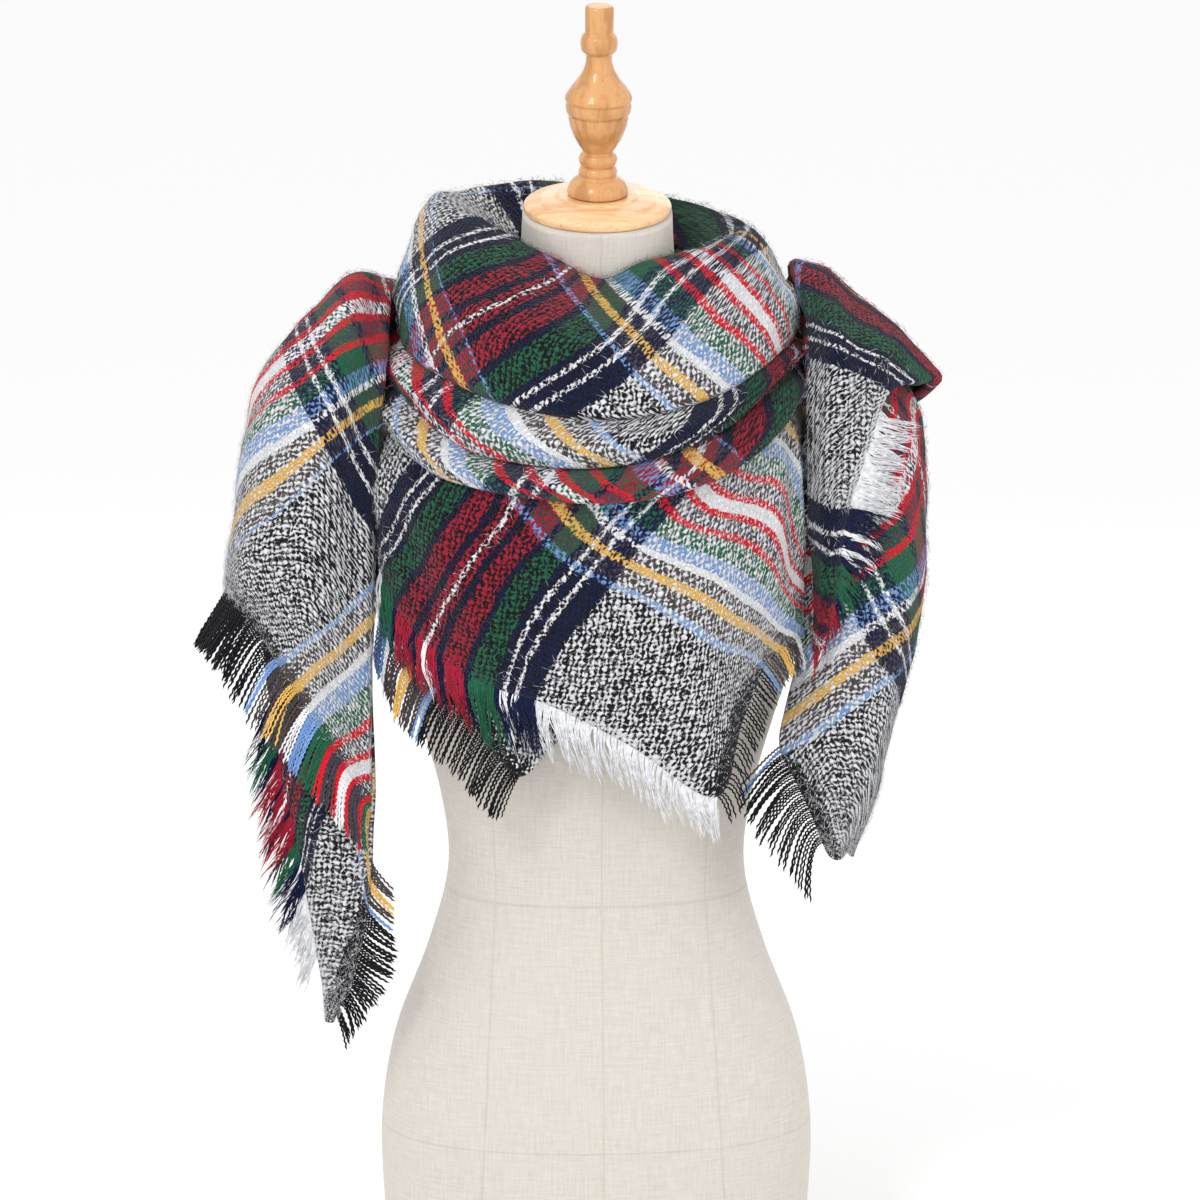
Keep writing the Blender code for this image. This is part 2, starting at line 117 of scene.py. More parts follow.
# The band that crosses behind the neck.
NAPE = [
    (107, (116, 800), (121, 803), (126, 794), (129, 784)),
    (118, (132, 812), (138, 816), (149, 798), (151, 777)),
    (134, (122, 820), (130, 829), (147, 802), (154, 768)),
    (154, (110, 824), (117, 832), (138, 804), (150, 755)),
    (180, (103, 822), (111, 837), (132, 802), (146, 748)),
    (204, (104, 814), (112, 825), (130, 796), (142, 755)),
    (224, (94, 800), (98, 804), (105, 790), (110, 770)),
]

# The two corners that hang in front, left to right: places under the rolls, halfway and at the edge.
BIB_FRONT = [
    ((-171, -74, 658), (-170, -80, 624), (-170, -78, 596)),
    ((-157, -104, 646), (-156, -106, 598), (-152, -104, 555)),
    ((-130, -124, 626), (-125, -128, 576), (-119, -126, 524)),
    ((-99, -140, 615), (-92, -142, 559), (-81, -138, 503)),
    ((-62, -148, 610), (-54, -150, 549), (-43, -146, 492)),
    ((-11, -152, 608), (1, -154, 530), (18, -148, 460)), ((39, -152, 609), (58, -150, 514), (82, -142, 419)),
    ((78, -144, 620), (91, -144, 542), (102, -138, 475)),
    ((109, -130, 640), (116, -132, 571), (119, -128, 514)),
    ((131, -114, 662), (135, -116, 591), (139, -112, 529)),
    ((148, -92, 673), (151, -94, 609), (152, -92, 532)),
]
BIB_BACK = [
    ((-169, -68, 634), (-169, -68, 588), (-168, -68, 543)),
    ((-153, -90, 622), (-152, -92, 561), (-149, -92, 509)),
    ((-130, -109, 618), (-127, -111, 542), (-123, -110, 487)),
    ((-99, -124, 597), (-96, -126, 522), (-92, -123, 463)),
    ((-72, -134, 584), (-68, -136, 501), (-64, -132, 434)),
    ((-45, -138, 584), (-42, -138, 516), (-34, -134, 462)),
    ((-1, -140, 599), (5, -140, 539), (12, -136, 492)),
]
BIB_RISE = 6  # how far above the low roll's edge both corners start
FRONT_TUCK = 12  # and how far behind it
BACK_TUCK = 21

# The ends: sections from behind the neck, over a shoulder and down the front, each from the edge by the
# body outwards and round to the back.
TAIL_LEFT = [
    ((60, 104, 748), (62, 110, 722), (64, 114, 694), (66, 114, 660), (68, 112, 630)),
    ((-30, 110, 754), (-32, 116, 722), (-34, 120, 690), (-36, 120, 650), (-38, 117, 610)),
    ((-104, 94, 766), (-122, 102, 738), (-140, 106, 694), (-158, 100, 640), (-170, 92, 600)),
    ((-144, 54, 782), (-176, 60, 766), (-208, 62, 722), (-232, 60, 650), (-236, 66, 600)),
    ((-160, 0, 786), (-192, 0, 790), (-232, 2, 750), (-260, 12, 690), (-262, 52, 620)),
    ((-166, -66, 747), (-199, -70, 752), (-240, -56, 727), (-267, -12, 671), (-264, 36, 625)),
    ((-172, -88, 690), (-214, -98, 692), (-254, -76, 678), (-273, -24, 642), (-262, 24, 615)),
    ((-176, -92, 623), (-223, -102, 621), (-266, -76, 609), (-279, -28, 593), (-262, 14, 590)),
    ((-178, -94, 532), (-227, -104, 561), (-272, -72, 584), (-281, -30, 576), (-266, 4, 578)),
    ((-177, -94, 451), (-224, -102, 517), (-270, -70, 564), (-282, -32, 567), (-270, -2, 572)),
    ((-176, -92, 403), (-220, -100, 475), (-267, -68, 550), (-283, -33, 561), (-272, -10, 570)),
]
TAIL_RIGHT = [
    ((-60, 126, 746), (-62, 132, 716), (-64, 134, 684), (-66, 132, 650), (-68, 128, 618)),
    ((30, 124, 758), (32, 132, 724), (34, 134, 688), (36, 132, 646), (38, 128, 600)),
    ((100, 104, 768), (118, 112, 736), (136, 114, 692), (154, 108, 636), (166, 98, 594)),
    ((146, 58, 772), (170, 64, 754), (200, 66, 712), (224, 62, 650), (230, 66, 600)),
    ((162, 0, 780), (192, 0, 768), (226, 0, 726), (250, 12, 676), (254, 50, 616)),
    ((160, -62, 744), (184, -68, 743), (220, -54, 716), (248, -12, 674), (254, 34, 616)),
    ((156, -77, 670), (186, -88, 672), (228, -70, 662), (252, -20, 641), (252, 22, 600)),
    ((154, -80, 587), (185, -92, 589), (229, -72, 583), (252, -22, 563), (250, 14, 560)),
    ((149, -84, 511), (183, -98, 517), (223, -76, 517), (243, -28, 507), (240, 4, 520)),
    ((135, -96, 453), (173, -106, 467), (212, -82, 469), (230, -38, 465), (228, -12, 470)),
    ((145, -102, 425), (173, -108, 426), (200, -90, 422), (215, -54, 414), (216, -34, 414)),
    ((158, -104, 398), (174, -106, 394), (190, -94, 390), (203, -68, 382), (205, -54, 380)),
    ((170, -100, 368), (174, -100, 360), (180, -94, 358), (186, -84, 361), (192, -76, 355)),
]

# The layer below the left end, and the one folded over the right end.
TAIL_LEFT_UNDER = [
    ((-174, -74, 589), (-204, -84, 591), (-234, -84, 591), (-258, -58, 587)),
    ((-174, -76, 497), (-201, -86, 499), (-228, -86, 500), (-252, -60, 494)),
    ((-172, -78, 420), (-198, -88, 419), (-223, -88, 419), (-241, -66, 418)),
    ((-175, -80, 358), (-194, -89, 359), (-213, -88, 359), (-229, -70, 360)),
    ((-181, -82, 304), (-195, -88, 306), (-209, -87, 307), (-221, -74, 309)),
    ((-192, -82, 265), (-200, -86, 264), (-208, -85, 266), (-214, -76, 267)),
    ((-206, -82, 233), (-207, -83, 232), (-209, -82, 232), (-210, -80, 232)),
]
TAIL_RIGHT_FOLD = [
    ((-20, 156, 744), (-21, 160, 722), (-22, 161, 698), (-22, 158, 668)),
    ((56, 148, 752), (60, 154, 728), (68, 156, 698), (76, 152, 662)),
    ((116, 116, 762), (134, 124, 742), (160, 126, 706), (188, 112, 668)),
    ((154, 66, 779), (180, 74, 768), (212, 76, 730), (244, 62, 688)),
    ((156, 0, 803), (188, 0, 788), (226, -8, 754), (261, -14, 718)),
    ((159, -72, 761), (180, -86, 759), (213, -76, 744), (244, -50, 720)),
    ((156, -84, 713), (176, -98, 715), (197, -96, 715), (214, -84, 714)),
    ((156, -90, 665), (168, -104, 666), (182, -104, 665), (195, -96, 663)),
    ((156, -92, 621), (165, -105, 623), (174, -106, 625), (183, -100, 627)),
    ((160, -100, 568), (164, -109, 568), (169, -110, 568), (175, -106, 568)),
    ((158, -106, 523), (159, -111, 522), (161, -112, 522), (164, -111, 524)),
]

# Fringes: the stretch and the edge of it that each one hangs from, the share of that edge where it
# starts and ends, and the reach of its strands at the start, the middle and the end.
FringeRow = namedtuple("FringeRow", "name stretch edge start end first middle last")
FRINGES = [
    FringeRow("fringe_bib_hem", "bib_front", "last_column", 0.0, 0.6,
              (-4, -3, -40), (8, -3, -46), (4, -2, -34)),
    FringeRow("fringe_bib_side", "bib_front", "last_column", 0.6, 0.97,
              (12, 0, -20), (16, 2, -18), (6, 4, -26)),
    FringeRow("fringe_bib_back", "bib_back", "last_column", 0.0, 0.667,
              (-4, -1, -34), (-16, 0, -34), (-18, 0, -34)),
    FringeRow("fringe_tail_left", "tail_left", "last_row", 0.0, 0.75,
              (-3, -4, -38), (-28, -4, -38), (-24, 0, -40)),
    FringeRow("fringe_under_left", "tail_left_under", "last_column", 0.2, 0.75,
              (-22, -3, -34), (-24, -3, -36), (-12, -3, -32)),
    FringeRow("fringe_under_right", "tail_left_under", "first_column", 0.5, 0.97,
              (16, -2, -22), (28, -3, -16), (8, -3, -26)),
    FringeRow("fringe_tail_right", "tail_right", "first_column", 0.76, 0.99,
              (-34, -4, -34), (-34, -4, -36), (-12, -4, -44)),
    FringeRow("fringe_right_fold", "tail_right_fold", "last_column", 0.63, 0.99,
              (30, 6, -10), (38, 9, -13), (-14, 0, -26)),
]

# Where each stretch lies on the flat square: places on the cloth, in millimetres across the crosswise
# stripes and across the lengthways stripes, evenly spread over the stretch's own rows and columns. The
# values come from a fit made beforehand by another program, with some rows changed by hand.
CUTS = {
    "cowl_top": [
        [(240, 330), (238, 304), (225, 274), (216, 233)], [(308, 343), (311, 301), (307, 263), (308, 215)],
        [(390, 368), (385, 312), (402, 244), (432, 226)], [(484, 406), (464, 396), (522, 322), (560, 288)],
        [(558, 451), (573, 453), (608, 419), (653, 387)], [(584, 525), (605, 521), (670, 514), (706, 486)],
        [(579, 605), (622, 628), (673, 638), (693, 627)], [(561, 680), (590, 699), (624, 717), (660, 735)],
        [(535, 740), (552, 760), (577, 782), (609, 806)],
    ],
    "cowl_mid": [
        [(180, 519), (175, 534), (171, 551)], [(270, 497), (278, 512), (285, 539)],
        [(343, 439), (354, 451), (369, 485)], [(406, 376), (422, 384), (457, 397)],
        [(493, 326), (511, 332), (527, 337)], [(543, 274), (556, 279), (570, 284)],
    ],
    "cowl_low": [
        [(247, 86), (248, 71), (244, 60)], [(343, 136), (345, 120), (354, 96)],
        [(435, 213), (447, 201), (456, 178)], [(511, 295), (527, 290), (550, 275)],
        [(576, 387), (591, 380), (611, 373)], [(600, 451), (616, 450), (631, 449)],
    ],
    "nape_band": [
        [(44, 581), (67, 597)], [(52, 468), (105, 475)], [(52, 302), (103, 285)],
    ],
    "bib_front": [
        [(369, 85), (371, 54), (359, 28), (331, 12), (304, 2)],
        [(295, 94), (276, 65), (251, 43), (218, 24), (195, -4)],
        [(215, 119), (196, 101), (157, 84), (125, 36), (97, -1)],
        [(135, 189), (107, 168), (68, 111), (4, 69), (-39, 1)],
        [(81, 267), (63, 233), (30, 185), (-8, 144), (-39, 108)],
        [(50, 316), (36, 296), (10, 270), (-26, 240), (-43, 156)],
    ],
    "bib_back": [
        [(70, 275), (-9, 221), (-45, 159)], [(88, 223), (16, 158), (-45, 100)],
        [(109, 169), (28, 84), (-39, 4)], [(151, 121), (88, 50), (37, -12)],
    ],
    "tail_left": [
        [(176, 199), (140, 197), (103, 193), (61, 192)], [(202, 337), (153, 348), (84, 356), (21, 361)],
        [(226, 448), (170, 454), (68, 460), (-12, 450)], [(185, 564), (140, 537), (54, 535), (-34, 527)],
        [(128, 666), (58, 621), (-5, 602), (-48, 559)], [(38, 785), (-3, 700), (-33, 633), (-51, 586)],
        [(-39, 872), (-44, 747), (-44, 644), (-46, 600)],
    ],
    "tail_left_under": [
        [(307, 102), (351, 60), (407, 9)], [(141, 120), (195, 62), (273, -4)],
        [(-23, 140), (51, 60), (149, -6)], [(-63, 53), (-20, 28), (33, -5)], [(-39, -15), (-44, -8), (-57, 0)],
    ],
    "tail_right": [
        [(587, 348), (595, 304), (602, 261), (602, 212)], [(424, 351), (421, 302), (417, 229), (416, 162)],
        [(282, 338), (282, 293), (283, 216), (312, 143)], [(144, 272), (176, 246), (223, 188), (265, 123)],
        [(9, 159), (101, 134), (146, 111), (178, 84)], [(-44, 84), (6, 78), (57, 55), (78, 36)],
        [(-40, 18), (-36, 8), (-19, 12), (-2, 15)],
    ],
    "tail_right_fold": [
        [(243, 192), (226, 163), (206, 127)], [(392, 157), (383, 110), (380, 37)],
        [(541, 109), (529, 57), (537, -19)], [(674, 79), (663, 33), (642, -5)],
        [(765, 32), (756, 14), (753, -2)], [(872, 3), (864, 5), (861, 2)],
    ],
}

# Stripes of the cloth, each with its width in millimetres, its colour, and how strongly its yarn shows
# at the crossings. The crosswise yarns start black at the edge and the lengthways yarns white.
BLACK = (0.008, 0.008, 0.011)
NAVY = (0.008, 0.013, 0.052)
WHITE = (0.93, 0.93, 0.96)
GREEN = (0.020, 0.130, 0.068)
RED = (0.74, 0.014, 0.03)
CRIMSON = (0.39, 0.017, 0.043)
SOFT_WHITE = (0.81, 0.815, 0.84)
BLUE = (0.19, 0.35, 0.68)
BROWN = (0.075, 0.06, 0.06)
YELLOW = (0.84, 0.50, 0.12)
GREY = (0.07, 0.06, 0.075)
CROSSWISE = [
    (106, BLACK, 0.5), (5, BLUE, 0.5), (13, BROWN, 0.5), (8, YELLOW, 0.75), (11, BROWN, 0.5), (6, WHITE, 0.6),
    (13, BLUE, 0.5), (18, GREEN, 0.5), (6, RED, 0.8), (13, GREY, 0.5), (6, RED, 0.8), (11, WHITE, 0.6),
    (6, RED, 0.8), (13, GREY, 0.5), (6, RED, 0.8), (18, GREEN, 0.5), (13, BLUE, 0.5), (6, WHITE, 0.6),
    (11, BROWN, 0.5), (8, YELLOW, 0.75), (13, BROWN, 0.5), (3, BLUE, 0.5),
]
LENGTHWAYS = [
    (108, SOFT_WHITE, 0.43), (18, NAVY, 0.65), (4, WHITE, 0.6), (8, NAVY, 0.6), (4, WHITE, 0.6), (7, NAVY, 0.6),
    (22, GREEN, 0.46), (6, NAVY, 0.6), (20, CRIMSON, 0.5), (8, NAVY, 0.6), (7, CRIMSON, 0.5), (4, WHITE, 0.55),
    (7, CRIMSON, 0.5), (8, NAVY, 0.6), (20, CRIMSON, 0.5), (6, NAVY, 0.6), (22, GREEN, 0.46), (7, NAVY, 0.6),
    (4, WHITE, 0.6), (8, NAVY, 0.6), (4, WHITE, 0.6), (18, NAVY, 0.65),
]
YARN = 3.2  # millimetres from one yarn to the next

# Edges that turn under towards the form: which edge, the radius in millimetres, and the shares along
# the stretch between which the turn dies away.
TURN_DEGREES = 200
Turn = namedtuple("Turn", "edge radius flatter flat")
TURNED = {
    "cowl_top": [Turn("last", 4.2, 2.0, 3.0)],
    "cowl_mid": [Turn("last", 3.6, 2.0, 3.0)],
    "cowl_low": [Turn("last", 3.6, 2.0, 3.0)],
    "nape_band": [Turn("last", 3.6, 2.0, 3.0)],
    "tail_left": [Turn("first", 7.0, 0.8, 1.0), Turn("start", 3.6, 2.0, 3.0)],
    "tail_right": [Turn("first", 7.0, 0.58, 0.72), Turn("start", 3.6, 2.0, 3.0)],
    "tail_right_fold": [
        Turn("first", 6.0, 0.85, 1.0), Turn("last", 5.0, 0.50, 0.62), Turn("start", 3.6, 2.0, 3.0),
    ],
}

# Creases: shares along and across the stretch where each starts and ends, its half width in
# millimetres, and its height, which is negative for a trough.
CREASES = {
    "cowl_top": [
        ((0.30, 0.55), (0.44, 0.86), 13, -3.5), ((0.36, 0.42), (0.50, 0.70), 15, 3.0),
        ((0.52, 0.78), (0.66, 0.55), 12, -3.2), ((0.62, 0.80), (0.73, 0.52), 10, -3.0),
        ((0.42, 0.30), (0.58, 0.28), 12, 2.4), ((0.22, 0.60), (0.27, 0.95), 12, -3.0),
        ((0.04, 0.60), (0.16, 0.72), 14, -3.0), ((0.85, 0.58), (0.97, 0.70), 14, -3.0),
    ],
    "cowl_mid": [
        ((0.10, 0.72), (0.42, 0.66), 8, -2.2), ((0.55, 0.60), (0.90, 0.70), 8, -2.4),
    ],
    "cowl_low": [
        ((0.12, 0.70), (0.36, 0.62), 8, -2.2), ((0.50, 0.72), (0.80, 0.64), 8, -2.2),
    ],
    "nape_band": [((0.1, 0.5), (0.9, 0.62), 10, -2.5)],
    "bib_front": [
        ((0.02, 0.20), (0.10, 0.98), 9, 3.0), ((0.10, 0.25), (0.20, 0.95), 10, -3.4),
        ((0.20, 0.22), (0.31, 0.90), 12, 2.6), ((0.33, 0.20), (0.40, 0.62), 12, -3.0),
        ((0.80, 0.22), (0.74, 0.62), 11, -3.4), ((0.88, 0.24), (0.84, 0.70), 10, 3.2),
        ((0.96, 0.25), (0.93, 0.86), 8, -3.0), ((0.62, 0.30), (0.66, 0.80), 18, 2.2),
        ((0.48, 0.34), (0.52, 0.86), 18, -1.8),
    ],
    "bib_back": [((0.3, 0.2), (0.35, 0.9), 12, -2.0)],
    "tail_left": [
        ((0.30, 0.12), (0.58, 0.20), 14, 3.6), ((0.40, 0.04), (0.80, 0.05), 10, -3.2),
        ((0.36, 0.36), (0.66, 0.44), 18, -3.4), ((0.62, 0.20), (0.96, 0.24), 14, -2.4),
        ((0.68, 0.42), (0.98, 0.48), 14, 2.6), ((0.30, 0.60), (0.60, 0.66), 20, 3.0),
        ((0.10, 0.30), (0.28, 0.50), 18, -3.0), ((0.12, 0.75), (0.30, 0.85), 16, -2.6),
    ],
    "tail_left_under": [((0.2, 0.6), (0.9, 0.6), 9, -2.6), ((0.3, 0.25), (0.9, 0.3), 9, 2.0)],
    "tail_right": [
        ((0.30, 0.30), (0.62, 0.40), 14, -3.0), ((0.42, 0.55), (0.82, 0.50), 14, 2.6),
        ((0.60, 0.22), (0.90, 0.36), 11, -2.4), ((0.10, 0.40), (0.28, 0.60), 18, -3.0),
        ((0.35, 0.80), (0.60, 0.76), 14, -2.6),
    ],
    "tail_right_fold": [
        ((0.30, 0.12), (0.60, 0.28), 11, 2.6), ((0.36, 0.36), (0.62, 0.55), 11, -2.8),
        ((0.30, 0.62), (0.50, 0.72), 12, 2.2), ((0.62, 0.42), (0.90, 0.45), 7, -2.0),
    ],
}
CREASE_STEPS = 24
RIPPLE = 0.9  # millimetres of slow unevenness all over the cloth

# The fringes of hard crimped yarn, which are the ends of the crosswise stripes: millimetres from one
# yarn to the next and half a yarn's thickness. The others are locks of the brushed lengthways yarns.
CRIMPED = {
    "fringe_bib_side": (2.6, 0.7),
    "fringe_bib_back": (1.7, 0.8),
    "fringe_tail_left": (1.35, 0.85),
    "fringe_under_right": (2.3, 0.8),
    "fringe_tail_right": (2.2, 0.75),
}
LOCK_PITCH = 3.4
CLOSE_LOCKS = {"fringe_right_fold": 2.3}

# One hard yarn: from one of its bends to the next, and the height of a bend, in millimetres.
BEND_PITCH = 1.7
BEND_HEIGHT = 0.42
LEAVING_BOW = 0.3  # how much of its length a strand keeps to the way that its yarn left the cloth

# How many loose fibres of nap stand on each stretch.
NAP = {
    "cowl_top": 8000, "cowl_mid": 2500, "cowl_low": 2500, "bib_front": 5500, "bib_back": 1500,
    "tail_left": 7500, "tail_left_under": 2000, "tail_right": 6000, "tail_right_fold": 3500,
}
NAP_LENGTHS = (4, 10)  # millimetres
NAP_RADIUS = 0.10
MERGE = 0.00001  # metres within which two vertices become one

# The cover's seams in millimetres: the front seams' distance from the middle at four heights, and the
# heights of the level seams between the underside and the top. The back seams lie BACK_SEAM times as far
# from the middle of the back.
FRONT_SEAM_LEVELS = (0, 333, 560, 700)
FRONT_SEAM_PLACES = (98, 80, 92, 70)
LEVEL_SEAMS = (0, 132, 318, 1000)
BACK_SEAM = 0.8

# The cloth's yarns: millimetres that one strays slowly and that it frays, and the same for a stripe's edge.
YARN_STRAY = 8.0
YARN_FRAY = 1.6
STRIPE_STRAY = 3.0
STRIPE_FRAY = 5.0


class Number:
    """A number in a shader. Arithmetic on it adds Math nodes."""

    def __init__(self, finish, socket):
        self.finish = finish
        self.socket = socket

    def _math(self, operation, first, second=None):
        inputs = {0: first} if second is None else {0: first, 1: second}
        return self.finish.node("ShaderNodeMath", {"operation": operation}, inputs)

    def __add__(self, other):
        return self._math("ADD", self, other)

    def __sub__(self, other):
        return self._math("SUBTRACT", self, other)

    def __rsub__(self, other):
        return self._math("SUBTRACT", other, self)

    def __mul__(self, other):
        return self._math("MULTIPLY", self, other)

    def __truediv__(self, other):
        return self._math("DIVIDE", self, other)

    __radd__ = __add__
    __rmul__ = __mul__

    def sine(self):
        return self._math("SINE", self)

    def cosine(self):
        return self._math("COSINE", self)

    def size(self):
        return self._math("ABSOLUTE", self)

    def wrapped(self):
        return self._math("FRACT", self)

    def at_least(self, other):
        return self._math("MAXIMUM", self, other)

    def at_most(self, other):
        return self._math("MINIMUM", self, other)

    def power(self, other):
        return self._math("POWER", self, other)

    def between(self, low, high):
        """0 below low and 1 above high, with a soft step from one to the other."""
        settings = {"interpolation_type": "SMOOTHSTEP"}
        span = {"Value": self, "From Min": low, "From Max": high}
        return self.finish.node("ShaderNodeMapRange", settings, span)


class Finish:
    """A material and its shader nodes."""

    def __init__(self, name):
        self.made = bpy.data.materials.new(name)
        self.made.use_nodes = True
        self.tree = self.made.node_tree
        self.shader = self.tree.nodes["Principled BSDF"]

    def node(self, kind, settings=None, inputs=None, output=0):
        """Adds a node and returns one of its outputs as a number."""
        node = self.tree.nodes.new(kind)
        for name, value in (settings or {}).items():
            if name == "stops":
                self.fill_ramp(node.color_ramp, value)
            else:
                setattr(node, name, value)
        for name, value in (inputs or {}).items():
            self.plug(node.inputs[name], value)
        return Number(self, node.outputs[output])

    def fill_ramp(self, ramp, stops):
        """Fills a ramp with hard bands, from (start, colour, alpha) stops."""
        ramp.interpolation = "CONSTANT"
        for place, _, _ in stops[2:]:
            ramp.elements.new(place)
        for element, (place, colour, alpha) in zip(ramp.elements, stops):
            element.position = place
            element.color = (*colour, alpha)

    def plug(self, socket, value):
        if isinstance(value, Number):
            self.tree.links.new(value.socket, socket)
        else:
            socket.default_value = value

    def constants(self, **values):
        for name, value in values.items():
            self.shader.inputs[name.replace("_", " ")].default_value = value

    def surface(self, name, value):
        self.plug(self.shader.inputs[name], value)

    def split(self, vector):
        parts = self.tree.nodes.new("ShaderNodeSeparateXYZ")
        self.plug(parts.inputs[0], vector)
        return [Number(self, socket) for socket in parts.outputs]

    def vector(self, x, y, z):
        return self.node("ShaderNodeCombineXYZ", {}, {"X": x, "Y": y, "Z": z})

    def noise(self, vector, scale, detail=2.0, roughness=0.5):
        inputs = {"Vector": vector, "Scale": scale, "Detail": detail, "Roughness": roughness}
        return self.node("ShaderNodeTexNoise", {}, inputs)

    def tangle(self, vector, scale, detail):
        """Three noises at once."""
        inputs = {"Vector": vector, "Scale": scale, "Detail": detail}
        return self.node("ShaderNodeTexNoise", {}, inputs, output=1)

    def mix(self, share, first, second, blend="MIX"):
        """A colour mixed from two, which may be colours or outputs."""
        node = self.tree.nodes.new("ShaderNodeMix")
        node.data_type = "RGBA"
        node.blend_type = blend
        colours = [(*value, 1) if isinstance(value, tuple) else value for value in (first, second)]
        for socket, value in zip((node.inputs[0], node.inputs[6], node.inputs[7]), (share, *colours)):
            self.plug(socket, value)
        return Number(self, node.outputs[2])

    def bump(self, height, distance, strength):
        inputs = {"Height": height, "Distance": distance, "Strength": strength}
        self.surface("Normal", self.node("ShaderNodeBump", {}, inputs))


def stripe_at(finish, place, stripes):
    """The colour of the yarn at a place across the stripes, in millimetres, and how strongly it shows."""
    run = sum(width for width, _, _ in stripes)
    stops, reached = [], 0
    for width, colour, strength in stripes:
        stops.append((reached / run, colour, strength))
        reached += width
    ramp = finish.node("ShaderNodeValToRGB", {"stops": stops}, {"Fac": (place.at_least(0.5) / run).wrapped()})
    return ramp, Number(finish, ramp.socket.node.outputs["Alpha"])


def cloth_places(finish):
    """Place on the flat cloth in millimetres: across the lengthways and the crosswise stripes."""
    across, along, _ = finish.split(finish.node("ShaderNodeUVMap", {"uv_map": "stripes"}))
    return across * 1000, along * 1000


def tartan():
    """Brushed cloth in which each crossing shows one yarn or the other, blurred by the nap."""
    finish = Finish("tartan_blanket_cloth")
    finish.constants(Roughness=0.95, Specular_IOR_Level=0.06, Sheen_Weight=0.12, Sheen_Roughness=0.5)
    across, along = cloth_places(finish)
    weft, warp, _ = finish.split(finish.node("ShaderNodeUVMap", {"uv_map": "yarns"}))
    weft, warp = (weft + warp) * 707, (weft - warp) * 707
    place = finish.vector(weft, warp, 0.0)
    wander_a, wander_b, _ = finish.split(finish.tangle(place, 0.16, 1.0))
    fray_a, fray_b, grain = finish.split(finish.tangle(place, 0.9, 2.0))
    weft_turn = (weft + (wander_a - 0.5) * YARN_STRAY + (fray_a - 0.5) * YARN_FRAY) * (math.pi / YARN)
    warp_turn = (warp + (wander_b - 0.5) * YARN_STRAY + (fray_b - 0.5) * YARN_FRAY) * (math.pi / YARN)
    crossing = weft_turn.cosine() * warp_turn.cosine() * 1.06
    crossing = crossing + (weft_turn - warp_turn).cosine() * 0.12
    lengthways, length_shows = stripe_at(
        finish, across + (wander_b - 0.5) * STRIPE_STRAY + (fray_b - 0.5) * STRIPE_FRAY, LENGTHWAYS)
    crosswise, cross_shows = stripe_at(
        finish, along + (wander_a - 0.5) * STRIPE_STRAY + (fray_a - 0.5) * STRIPE_FRAY, CROSSWISE)
    blots = finish.noise(place, 0.11, 1.0)
    tufts = finish.noise(place, 0.42, 2.0, 0.6)
    frayed = 1 - across.between(-38, -26) - (1 - along.between(0, 5)) * 0.5
    shows = crossing + (tufts - 0.5) * 3.0 + (blots - 0.5) * 1.9 + (cross_shows - length_shows) * 2.0
    shows = shows + frayed * 1.1 + (grain - 0.5) * 0.9
    colour = finish.mix(shows.between(-0.36, 0.36), lengthways, crosswise)
    # Darker where the weave's bump is low: the crossing term is painted shade in the gaps between the yarns,
    # and the grain and tuft terms are random tone.
    depth = 0.78 + crossing.size() * 0.2 + (grain - 0.5) * 0.8 + (tufts - 0.5) * 0.3
    shade = finish.vector(depth, depth, depth)
    finish.surface("Base Color", finish.mix(1.0, colour, shade, "MULTIPLY"))
    finish.bump(crossing.size() * 0.8 + tufts * 1.2 + grain * 0.5, 0.0018, 0.8)
    return finish.made


def loose_yarn(name, stripes, crosswise):
    """The single yarns of a fringe, each in the colour of the stripe that it comes from."""
    finish = Finish(name)
    finish.constants(Roughness=0.95, Specular_IOR_Level=0.06, Sheen_Weight=0.1, Sheen_Roughness=0.5)
    across, along = cloth_places(finish)
    colour, _ = stripe_at(finish, along if crosswise else across, stripes)
    shade = 0.55 + finish.noise(finish.node("ShaderNodeTexCoord", {}, {}, output=3), 300.0, 3.0) * 0.75
    finish.surface("Base Color", finish.mix(1.0, colour, finish.vector(shade, shade, shade), "MULTIPLY"))
    return finish.made


def linen():
    """Off-white linen: slubbed threads both ways, and the pressed seams of the cover's panels."""
    finish = Finish("natural_linen_cover")
    finish.constants(Roughness=0.88, Specular_IOR_Level=0.2, Sheen_Weight=0.12, Sheen_Roughness=0.5)
    x, y, _ = finish.split(finish.node("ShaderNodeUVMap", {"uv_map": "threads"}))
    upright = finish.noise(finish.vector(x * 620.0, y * 40.0, 0.0), 1.0, 3.0, 0.8)
    level = finish.noise(finish.vector(x * 40.0, y * 620.0, 5.0), 1.0, 3.0, 0.8)
    cloud = finish.noise(finish.vector(x, y, 2.0), 9.0, 3.0)
    thread = upright * 0.5 + level * 0.5
    colour = finish.mix(thread.between(0.24, 0.76), (0.525, 0.48, 0.43), (0.70, 0.655, 0.595))
    colour = finish.mix(cloud.between(0.3, 0.8) * 0.25, colour, (0.60, 0.56, 0.51))
    panel, level, _ = finish.split(finish.node("ShaderNodeUVMap", {"uv_map": "panels"}))
    upright_seam = ((panel + 0.5).wrapped() - 0.5).size() * 80.0
    level_seam = ((level + 0.5).wrapped() - 0.5).size() * 170.0
    seam = 1 - upright_seam.at_most(level_seam).between(0.3, 1.1)
    pressed = 1 - upright_seam.at_most(level_seam).between(2.0, 9.0)
    colour = finish.mix(seam * 0.26, colour, (0.42, 0.37, 0.32))
    finish.surface("Base Color", colour)
    finish.bump(thread * 0.9 - seam * 0.5 + pressed * 0.5, 0.0006, 0.45)
    return finish.made


